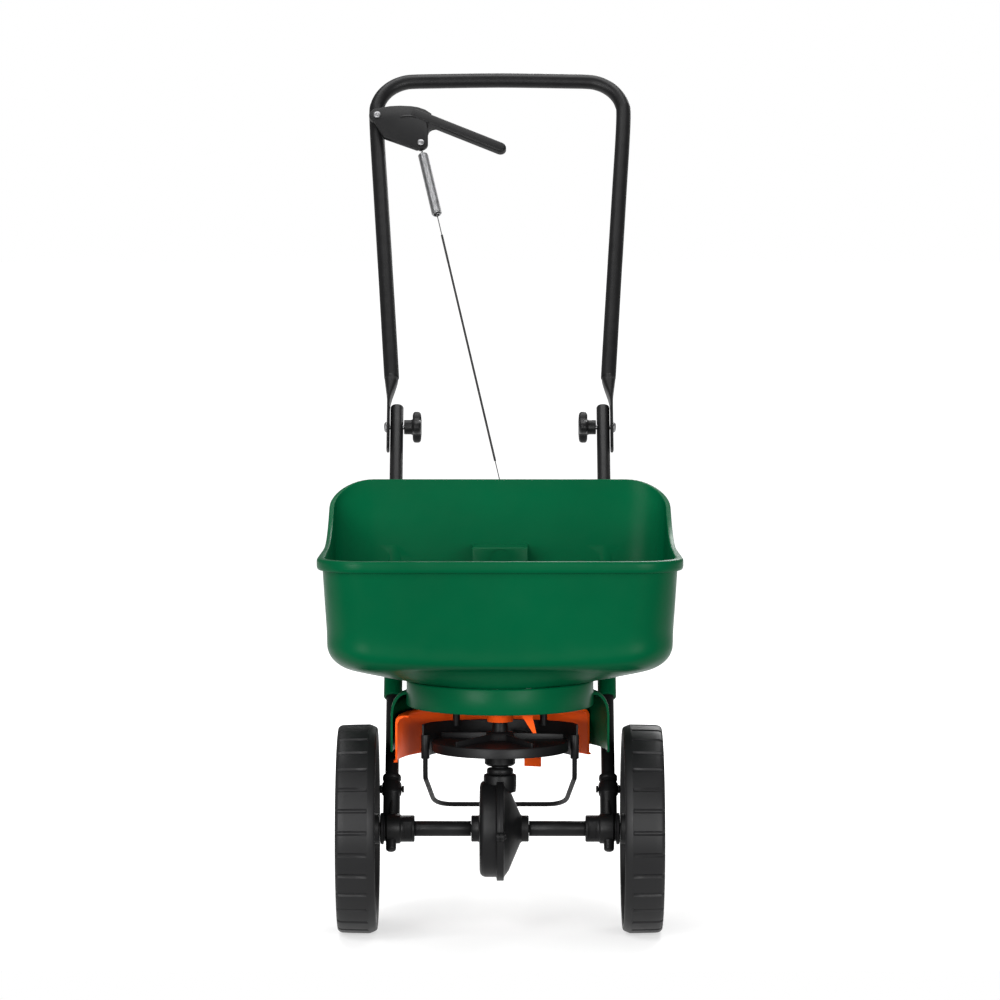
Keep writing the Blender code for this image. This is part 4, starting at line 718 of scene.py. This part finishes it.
def make_wheel(side, name, body):
    width = WHEEL_OUTER - WHEEL_INNER
    steps = TREAD_BARS * 14
    across = [(0.0, 0.0050), (0.0008, 0.0036), (0.0024, 0.0026), (width * 0.12, 0.0012), (width * 0.175, 0.0002),
              (width * 0.19, 0), (width * 0.20, 0), (width * 0.228, 0),
              (width * 0.5, 0.0002), (width * 0.75, 0.0005), (width - 0.0052, 0.0009), (width - 0.0030, 0.0016),
              (width - 0.0012, 0.0030), (width - 0.0003, 0.0042)]
    bead = [(0.1180, width), (0.1160, width - 0.0002), (0.1135, width - 0.0010), (0.1120, width - 0.0030),
            (0.1100, width - 0.0100), (0.1075, 0.0280), (0.1050, 0.0267)]
    inner = [(0.1050, 0.0233), (0.1085, 0.0215), (0.1150, 0.0012), (0.1165, 0.0002), (0.1190, 0)]
    origin = at(side * WHEEL_INNER, 0, AXLE.z)
    rings = []
    for i in range(steps):
        turn = tau * (i + 0.5) / steps
        out = Vector((0, -sin(turn) * side, cos(turn)))
        points = [(tread_radius(x, turn, width) - drop, x) for x, drop in across] + bead + inner
        rings.append([origin + X_AXIS * side * x + out * radius for radius, x in points])
    tyre = loft("tyre", rings, ring_loop=True)
    web_profile = [(0.0053, -0.0022), (0.0172, -0.0022), (0.0180, -0.0016), (0.0193, 0.0190), (0.0205, 0.0212),
                   (0.0235, 0.0222), (0.1062, 0.0233), (0.1062, 0.0265), (0.0235, 0.0258), (0.0215, 0.0268),
                   (0.0202, 0.0290), (0.0184, 0.0352), (0.0176, 0.0360), (0.0053, 0.0360)]
    pieces = [tyre, turned("web", origin, X_AXIS * side, web_profile, 120, hollow=True)]
    for i in range(SPOKES):
        turn = Matrix.Rotation(tau * (i + 0.5) / SPOKES, 4, "X")
        outline = [Vector((0.0240, -0.0020, 0.0185)), Vector((0.0420, -0.0020, 0.0185)),
                   Vector((0.0330, -0.0020, 0.0400)), Vector((0.0325, -0.0020, 0.0950)),
                   Vector((0.0380, -0.0020, 0.1110)), Vector((0.0240, -0.0020, 0.1110))]
        outline = [Vector((p.x * side, p.y, p.z)) for p in outline]
        rib = extrusion("rib", [origin + turn @ p for p in outline], turn.to_3x3() @ Vector((0, 0.0040, 0)))
        pieces.append(eased(rib, 0.0007, 2))
    for radius in (0.047, 0.078):
        ring = [(radius - 0.0012, 0.0250), (radius + 0.0012, 0.0250), (radius + 0.0012, 0.0276),
                (radius + 0.0008, 0.0281), (radius - 0.0008, 0.0281), (radius - 0.0012, 0.0276)]
        pieces.append(turned("ring", origin, X_AXIS * side, ring, 120, hollow=True))
    return shown(gathered("tyre_" + name, pieces), body, TREAD, "wheel_plastic", "wheel_" + name, angle=34)


def make_cap(side, name):
    low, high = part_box("hub_cap_" + name)
    base = low[0] if side > 0 else high[0]
    cap = turned("cap_" + name, at(base, 0, AXLE.z), X_AXIS * side,
                 [(0.0160, 0), (0.0165, 0.0005), (0.0165, 0.0061), (0.0161, 0.0075), (0.0150, 0.0089),
                  (0.0136, 0.0094), (0.0115, 0.0096), (0.0105, 0.0092), (0.0095, 0.0096), (0.0065, 0.0100)], 64)
    return shown(cap, "drive", BLACK, "black_plastic", "hub_cap_" + name)


# ---------------------------------------------------------------- tubes, handle, stand, knobs


def make_lower_tube(side, name):
    x = side * TUBE_X
    length = TUBE_HEAD - TUBE_FOOT
    radius = TUBE_RADIUS
    tube = turned("post_" + name, on_handle(x, TUBE_FOOT), UP_TUBE,
                  [(radius - 0.0012, 0), (radius, 0.0004), (radius, length - 0.0018), (radius - 0.0006, length - 0.0006),
                   (radius - 0.0022, length)], 48)
    return shown(tube, "frame", COATED, "black_steel", "lower_tube_" + name)


def make_handle():
    """One bent tube with flattened ends where it bolts to the outer sides of the posts."""
    stations = [(0.1413, 0.5272, 0.0020, 0.0080), (0.1413, 0.5300, 0.0020, 0.0112), (0.1413, 0.5350, 0.0020, 0.0127),
                (0.1413, 0.5600, 0.0020, 0.0130), (0.1413, 0.5900, 0.0020, 0.0130), (0.1404, 0.6030, 0.0033, 0.0126),
                (0.1389, 0.6180, 0.0066, 0.0113), (0.1381, 0.6320, 0.0090, 0.0101),
                (0.1388, 0.6480, HANDLE_RADIUS, HANDLE_RADIUS)]
    stations += [(x, s, HANDLE_RADIUS, HANDLE_RADIUS) for x, s in
                 ((0.1470, 0.780), (0.1515, 0.850), (0.1560, 0.920), (0.1612, 1.000))]
    stations += [(x, s, HANDLE_RADIUS, HANDLE_RADIUS) for x, s in arc(0.113, 1.0422, 0.05, 0, 90, 6)]
    stations += [(0.080, 1.0930, HANDLE_RADIUS, HANDLE_RADIUS), (0.040, 1.0938, HANDLE_RADIUS, HANDLE_RADIUS),
                 (0.0, 1.0942, HANDLE_RADIUS, HANDLE_RADIUS)]
    stations = stations + [(-x, s, thick, wide) for x, s, thick, wide in reversed(stations[:-1])]
    fine = curve_through([Vector(station) for station in stations], 6)
    points = [on_handle(station[0], station[1]) for station in fine]
    rings = []
    for i, station in enumerate(fine):
        along = (points[min(i + 1, len(points) - 1)] - points[max(i - 1, 0)]).normalized()
        across = along.cross(OUT_OF_PLANE)
        ring = []
        for k in range(32):
            a = tau * k / 32
            square = 1 if station[2] > 0.0085 else 0.72
            wave_x = abs(cos(a)) ** square * (1 if cos(a) > 0 else -1)
            wave_s = abs(sin(a)) ** square * (1 if sin(a) > 0 else -1)
            ring.append(points[i] + across * (wave_x * station[2]) + OUT_OF_PLANE * (wave_s * station[3]))
        rings.append(ring)
    handle = loft("handle_tube", rings)
    return shown(handle, "handle", COATED, "black_steel", "upper_handle", angle=50)


def make_stand():
    """One bent wire: two legs that run back and down, and a crossbar between round corners."""
    stand_x = size_of("rear_stand").x / 2 - 0.003
    right = [at(stand_x, 0.004, 0.233), at(stand_x, 0.004, 0.186), at(0.0855, 0.320, 0.1075)]
    leg = rounded_path(right, (0.009,))[:-1]
    corner = right[2] - X_AXIS * 0.003
    start = right[1].lerp(corner, 0.72)
    end = corner - X_AXIS * 0.024
    bend = [start * (1 - t) ** 2 + corner * 2 * t * (1 - t) + end * t**2 for t in (i / 18 for i in range(19))]
    half = leg + bend
    path = half + [Vector((-point.x, point.y, point.z)) for point in reversed(half)]
    return shown(swept("stand_wire", path, 0.003, 24), "frame", DULL, "black_steel", "rear_stand")


def make_knob(side, name):
    """Clamp knob with three lobes."""
    base = on_handle(side * (TUBE_X - TUBE_RADIUS - 0.0010), FOLD_S)
    inward = -X_AXIS * side
    across = inward.cross(UP_TUBE)
    levels = [(0.0108, 0.80), (0.0116, 0.91), (0.0128, 0.985), (0.0145, 1.0), (0.0178, 1.0), (0.0196, 0.97),
              (0.0209, 0.90), (0.0215, 0.78), (0.0221, 0.45), (0.0222, 0.10)]
    rings = []
    for height, share in levels:
        ring = []
        for k in range(96):
            a = tau * k / 96
            reach = (0.0164 + 0.0052 * cos(3 * a)) * share
            ring.append(base + inward * height + UP_TUBE * (reach * cos(a)) + across * (reach * sin(a)))
        rings.append(ring)
    head = loft("knob_head", rings)
    stem = turned("knob_stem", base, inward,
                  [(0.0085, 0), (0.0092, 0.0006), (0.0092, 0.0085), (0.0100, 0.0105), (0.0112, 0.0120)], 48)
    return shown(gathered("clamp_" + name, [head, stem]), "knob_" + name, BLACK, "black_plastic", "knob_" + name,
                 angle=45)


def make_knob_bolt(side, name):
    head = on_handle(side * 0.1436, FOLD_S) + X_AXIS * side * 0.0030
    bolt = turned("clamp_bolt_" + name, head, -X_AXIS * side,
                  [(0.0022, 0), (0.0042, 0.0003), (0.0058, 0.0011), (0.0066, 0.0021), (0.0068, 0.0030),
                   (0.0030, 0.0030), (0.0030, 0.0370)], 48)
    return shown(bolt, "frame", BRIGHT, "bright_steel", "knob_bolt_" + name)


# ---------------------------------------------------------------- lever, spring, cable


def lever_place(point):
    """The (x, s) of a world point in the handle's plane."""
    away = point - AXLE
    return away.x, away.dot(UP_TUBE)


def make_lever():
    rivet_x, rivet_s = lever_place(LEVER)
    pin_x, pin_s = lever_place(CABLE_TOP)
    outline = arc(rivet_x, rivet_s, 0.0105, 100, 250, 18)
    outline += [(-0.1525, 0.9925), (-0.1085, 0.9738)]
    outline += arc(pin_x, pin_s, 0.0095, 250, 350, 12)
    outline += [(-0.0945, 1.0037), (-0.0935, 1.0080), (-0.0900, 1.0300), (-0.0985, 1.0365), (-0.1085, 1.0405),
                (-0.1180, 1.0421), (-0.1320, 1.0428), (-0.1450, 1.0420)]
    plate = extrusion("plate", [on_handle(x, s, LEVER_BACK) for x, s in outline], OUT_OF_PLANE * LEVER_PLATE)
    eased(plate, 0.0011, 3, 25)
    front = LEVER_BACK + LEVER_PLATE
    ridge = arc(-0.1205, 1.0000, 0.0275, 66, 114, 10) + arc(-0.1205, 1.0000, 0.0248, 114, 66, 10)
    emboss = extrusion("emboss", [on_handle(x, s, front - 0.001) for x, s in ridge], OUT_OF_PLANE * 0.0016)
    eased(emboss, 0.0005, 2)
    start, end = Vector((-0.1160, 1.0330)), Vector((0.0000, 0.9775))
    along = (end - start).normalized()
    across = Vector((-along.y, along.x)) * 0.0073
    tip = [end + along * (0.0082 * sin(radians(a))) + across * cos(radians(a)) for a in range(0, 181, 15)]
    arm_outline = [start + across] + tip + [start - across]
    arm = extrusion("arm", [on_handle(p.x, p.y, front - 0.0105) for p in arm_outline], OUT_OF_PLANE * 0.0115)
    eased(arm, 0.0030, 5, 50)
    fillet = [(-0.0942, 0.9990), (-0.0935, 1.0022), (-0.0918, 1.0048), (-0.0888, 1.0068), (-0.0850, 1.0078),
              (-0.0790, 1.0076), (-0.0860, 1.0200), (-0.0980, 1.0200)]
    corner = extrusion("fillet", [on_handle(x, s, LEVER_BACK) for x, s in fillet], OUT_OF_PLANE * LEVER_PLATE)
    lever = gathered("squeeze_lever", [plate, emboss, arm, corner])
    return shown(lever, "lever", BLACK, "black_plastic", "control_lever")


def make_rivets():
    front = LEVER_BACK + LEVER_PLATE + 0.0003
    back = -HANDLE_RADIUS - 0.0006
    length = front - back + 0.0022
    base = LEVER + OUT_OF_PLANE * (back - 0.0022)
    rivet = turned("pivot_rivet", base, OUT_OF_PLANE,
                   [(0.0038, 0), (0.0052, 0.0010), (0.0052, 0.0022), (0.0025, 0.0022), (0.0025, length),
                    (0.0052, length), (0.0051, length + 0.0006), (0.0044, length + 0.0014), (0.0030, length + 0.0019),
                    (0.0018, length + 0.0020), (0.0012, length + 0.0014)], 48)
    shown(rivet, "handle", BRIGHT, "bright_steel", "lever_rivet")
    pin_x, pin_s = lever_place(CABLE_TOP)
    pin = turned("hook_pin", on_handle(pin_x, pin_s, 0.0020), OUT_OF_PLANE,
                 [(0.0041, 0), (0.0045, 0.0003), (0.0045, 0.0012), (0.0025, 0.0012), (0.0025, front - 0.0020),
                  (0.0048, front - 0.0020), (0.0047, front - 0.0013), (0.0040, front - 0.0006), (0.0028, front - 0.0001),
                  (0.0016, front), (0.0011, front - 0.0005)], 48)
    shown(pin, "lever", BRIGHT, "bright_steel", "cable_pin")


CABLE_DOWN = Vector(JOINTS["cable_slide"]["axis"]).normalized() * -1
FOLD_PLACE = CABLE_TOP + CABLE_DOWN * ((CABLE_TOP - FOLD).dot(OUT_OF_PLANE) / -CABLE_DOWN.dot(OUT_OF_PLANE))


def make_spring():
    """The coil, with a hook at each end."""
    start, end = 0.0124, 0.1085
    turns = int((end - start) / (2.05 * COIL_WIRE))
    side = (OUT_OF_PLANE - CABLE_DOWN * OUT_OF_PLANE.dot(CABLE_DOWN)).normalized()
    other = CABLE_DOWN.cross(side)
    path, per_turn = [], 16
    radius = SPRING_RADIUS - COIL_WIRE
    for i in range(turns * per_turn + 1):
        share = i / (turns * per_turn)
        turn = tau * turns * share
        edge = min(i, turns * per_turn - i) / per_turn
        r = radius * (0.62 + 0.38 * min(edge / 1.2, 1.0))
        centre = CABLE_TOP + CABLE_DOWN * (start + (end - start) * share)
        path.append(centre + side * (r * cos(turn)) + other * (r * sin(turn)))
    coil = swept("coil", path, COIL_WIRE, 8)
    eye = []
    for i in range(25):
        a = tau * i / 24 * 0.86 + 0.45
        eye.append(CABLE_TOP + CABLE_DOWN * (0.0042 * cos(a)) + other * (0.0042 * sin(a)))
    neck = [CABLE_TOP + CABLE_DOWN * 0.0044, CABLE_TOP + CABLE_DOWN * 0.0080, CABLE_TOP + CABLE_DOWN * 0.0130]
    foot = [CABLE_TOP + CABLE_DOWN * 0.1070, CABLE_TOP + CABLE_DOWN * 0.1110]
    spring = gathered("coil_spring", [coil, swept("eye", eye, 0.0009, 12), swept("neck", neck, 0.0009, 12),
                                      swept("foot", foot, 0.0013, 12)])
    return shown(spring, "cable_upper", SPRING, "spring_steel", "lever_spring", angle=60)


def sheath_path(start, end):
    """Points and radii of a sheath with a round end at its second point."""
    along = (end - start).normalized()
    points, radii = [start, start + along * 0.0003], [SHEATH_RADIUS * 0.7, SHEATH_RADIUS]
    for i in range(9):
        a = pi / 2 * i / 8
        points.append(end + along * (SHEATH_RADIUS * sin(a)))
        radii.append(max(SHEATH_RADIUS * cos(a), 0.0001))
    return points, radii


def make_cable():
    guide_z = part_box("cable_wire_lower")[0][2]
    sheath_top = CABLE_TOP + CABLE_DOWN * 0.1400
    path, radii = sheath_path(sheath_top, FOLD_PLACE)
    shown(swept("sheath_upper", path, radii, 20), "cable_upper", SHEATH, "black_plastic", "cable_sheath_upper")
    lower_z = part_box("cable_sheath_lower")[0][2]
    sheath_end = CABLE_TOP + CABLE_DOWN * ((CABLE_TOP.z - lower_z) / -CABLE_DOWN.z)
    path, radii = sheath_path(sheath_end, FOLD_PLACE)
    shown(swept("sheath_lower", path, radii, 20), "cable_lower", SHEATH, "black_plastic", "cable_sheath_lower")
    upper = swept("wire_upper", [CABLE_TOP + CABLE_DOWN * 0.1095, sheath_top + CABLE_DOWN * 0.001], WIRE_RADIUS, 12)
    shown(upper, "cable_upper", SHEATH, "black_plastic", "cable_wire_upper")
    guide = CABLE_TOP + CABLE_DOWN * ((CABLE_TOP.z - guide_z) / -CABLE_DOWN.z)
    lower = swept("wire_lower", [sheath_end - CABLE_DOWN * 0.001, guide], WIRE_RADIUS, 12)
    shown(lower, "cable_lower", SHEATH, "black_plastic", "cable_wire_lower")


# ---------------------------------------------------------------- the rest of the frame's nodes


def finish_nodes():
    """CAD nodes that keep their shape get their slot's material, soft edges and smooth rounds."""
    slots = {row["node"]: row["material_slot"] for row in frame["record"]["subparts"]}
    for name, node in frame["nodes"].items():
        node.data.materials.clear()
        node.data.materials.append(SLOT_MATERIALS[slots[name]])
        if node.hide_render:
            continue
        node.data.shade_smooth()
        node.data.set_sharp_from_angle(angle=radians(48))
        bevel = node.modifiers.new("edge", "BEVEL")
        bevel.width = 0.0003
        bevel.segments = 2
        bevel.limit_method = "ANGLE"
        bevel.angle_limit = radians(50)
        bevel.harden_normals = True


# ---------------------------------------------------------------- stage


def area_light(name, place, target, size, power):
    data = bpy.data.lights.new(name, "AREA")
    data.shape = "RECTANGLE"
    data.size, data.size_y = size
    data.energy = power
    light = bpy.data.objects.new(name, data)
    bpy.context.scene.collection.objects.link(light)
    light.location = place
    light.rotation_euler = (Vector(target) - Vector(place)).to_track_quat("-Z", "Y").to_euler()


AMBIENT = 0.28
GLOW_NEAR, GLOW_FAR = 0.50, 0.96  # the floor's own glow at GLOW_REACH[0] and GLOW_REACH[1] from the origin
GLOW_REACH = (0.25, 1.0)
FLOOR_REACH = 40
FLOOR_EDGE = -0.48  # the floor ends just ahead of the spreader, so its underside stays in shade
CAMERA_AHEAD, CAMERA_HEIGHT, CAMERA_TILT, CAMERA_LENS = 5.116, 0.905, 4.3, 154.8


def make_stage():
    corners = ((-FLOOR_REACH, FLOOR_EDGE, 0), (FLOOR_REACH, FLOOR_EDGE, 0), (FLOOR_REACH, FLOOR_REACH, 0),
               (-FLOOR_REACH, FLOOR_REACH, 0))
    work = bmesh.new()
    work.faces.new([work.verts.new(corner) for corner in corners])
    floor = object_from("floor", work)
    pale = new_material("pale_floor", (0.46, 0.46, 0.46), 0.9)
    pale.node_tree.nodes["Principled BSDF"].inputs["Emission Color"].default_value = (1, 1, 1, 1)
    nodes, links = pale.node_tree.nodes, pale.node_tree.links
    place, away, glow = (nodes.new("ShaderNodeTexCoord"), nodes.new("ShaderNodeVectorMath"),
                         nodes.new("ShaderNodeMapRange"))
    away.operation = "LENGTH"
    glow.inputs["From Min"].default_value, glow.inputs["From Max"].default_value = GLOW_REACH
    glow.inputs["To Min"].default_value = GLOW_NEAR
    glow.inputs["To Max"].default_value = GLOW_FAR
    links.new(place.outputs["Object"], away.inputs[0])
    links.new(away.outputs["Value"], glow.inputs["Value"])
    links.new(glow.outputs["Result"], nodes["Principled BSDF"].inputs["Emission Strength"])
    floor.data.materials.append(pale)
    world = bpy.data.worlds.new("studio")
    world.use_nodes = True
    world.node_tree.nodes["Background"].inputs["Color"].default_value = (1, 1, 1, 1)
    nodes, links = world.node_tree.nodes, world.node_tree.links
    nodes["Background"].inputs["Strength"].default_value = AMBIENT
    backdrop = nodes.new("ShaderNodeBackground")
    backdrop.inputs["Color"].default_value = (1, 1, 1, 1)
    backdrop.inputs["Strength"].default_value = 1.0
    path, mix = nodes.new("ShaderNodeLightPath"), nodes.new("ShaderNodeMixShader")
    links.new(path.outputs["Is Camera Ray"], mix.inputs["Fac"])
    links.new(nodes["Background"].outputs["Background"], mix.inputs[1])
    links.new(backdrop.outputs["Background"], mix.inputs[2])
    links.new(mix.outputs["Shader"], nodes["World Output"].inputs["Surface"])
    bpy.context.scene.world = world
    bpy.context.scene.view_settings.view_transform = "Standard"
    area_light("key", (-1.6, -2.6, 2.6), (0, 0, 0.4), (1.6, 1.6), 66)
    area_light("fill", (1.5, -3.3, 0.8), (0, 0, 0.35), (1.6, 1.4), 102)
    area_light("low", (-1.6, -3.2, 0.7), (0, 0, 0.3), (1.4, 1.2), 92)
    area_light("top", (0, 0.6, 3.0), (0, 0, 0.4), (2.2, 1.6), 72)
    area_light("back", (0.8, 2.6, 1.8), (0, 0, 0.5), (1.6, 1.2), 34)
    data = bpy.data.cameras.new("camera")
    data.lens = CAMERA_LENS
    data.clip_end = 120
    camera = bpy.data.objects.new("camera", data)
    bpy.context.scene.collection.objects.link(camera)
    camera.location = (0, AXLE.y - CAMERA_AHEAD, CAMERA_HEIGHT)
    camera.rotation_euler = (radians(90 - CAMERA_TILT), 0, 0)
    bpy.context.scene.camera = camera


make_tub()
make_housing()
make_shield()
make_deflector()
make_impeller()
make_gearbox()
make_bush()
for side, name, wheel_body in ((1, "left", "drive"), (-1, "right", "free_wheel")):
    make_bracket(side, name)
    make_axle_tube(side, name)
    make_bracket_bolt(side, name)
    make_wheel(side, name, wheel_body)
    make_cap(side, name)
    make_lower_tube(side, name)
    make_knob(side, name)
    make_knob_bolt(side, name)
make_handle()
make_stand()
make_lever()
make_rivets()
make_spring()
make_cable()
finish_nodes()
make_stage()
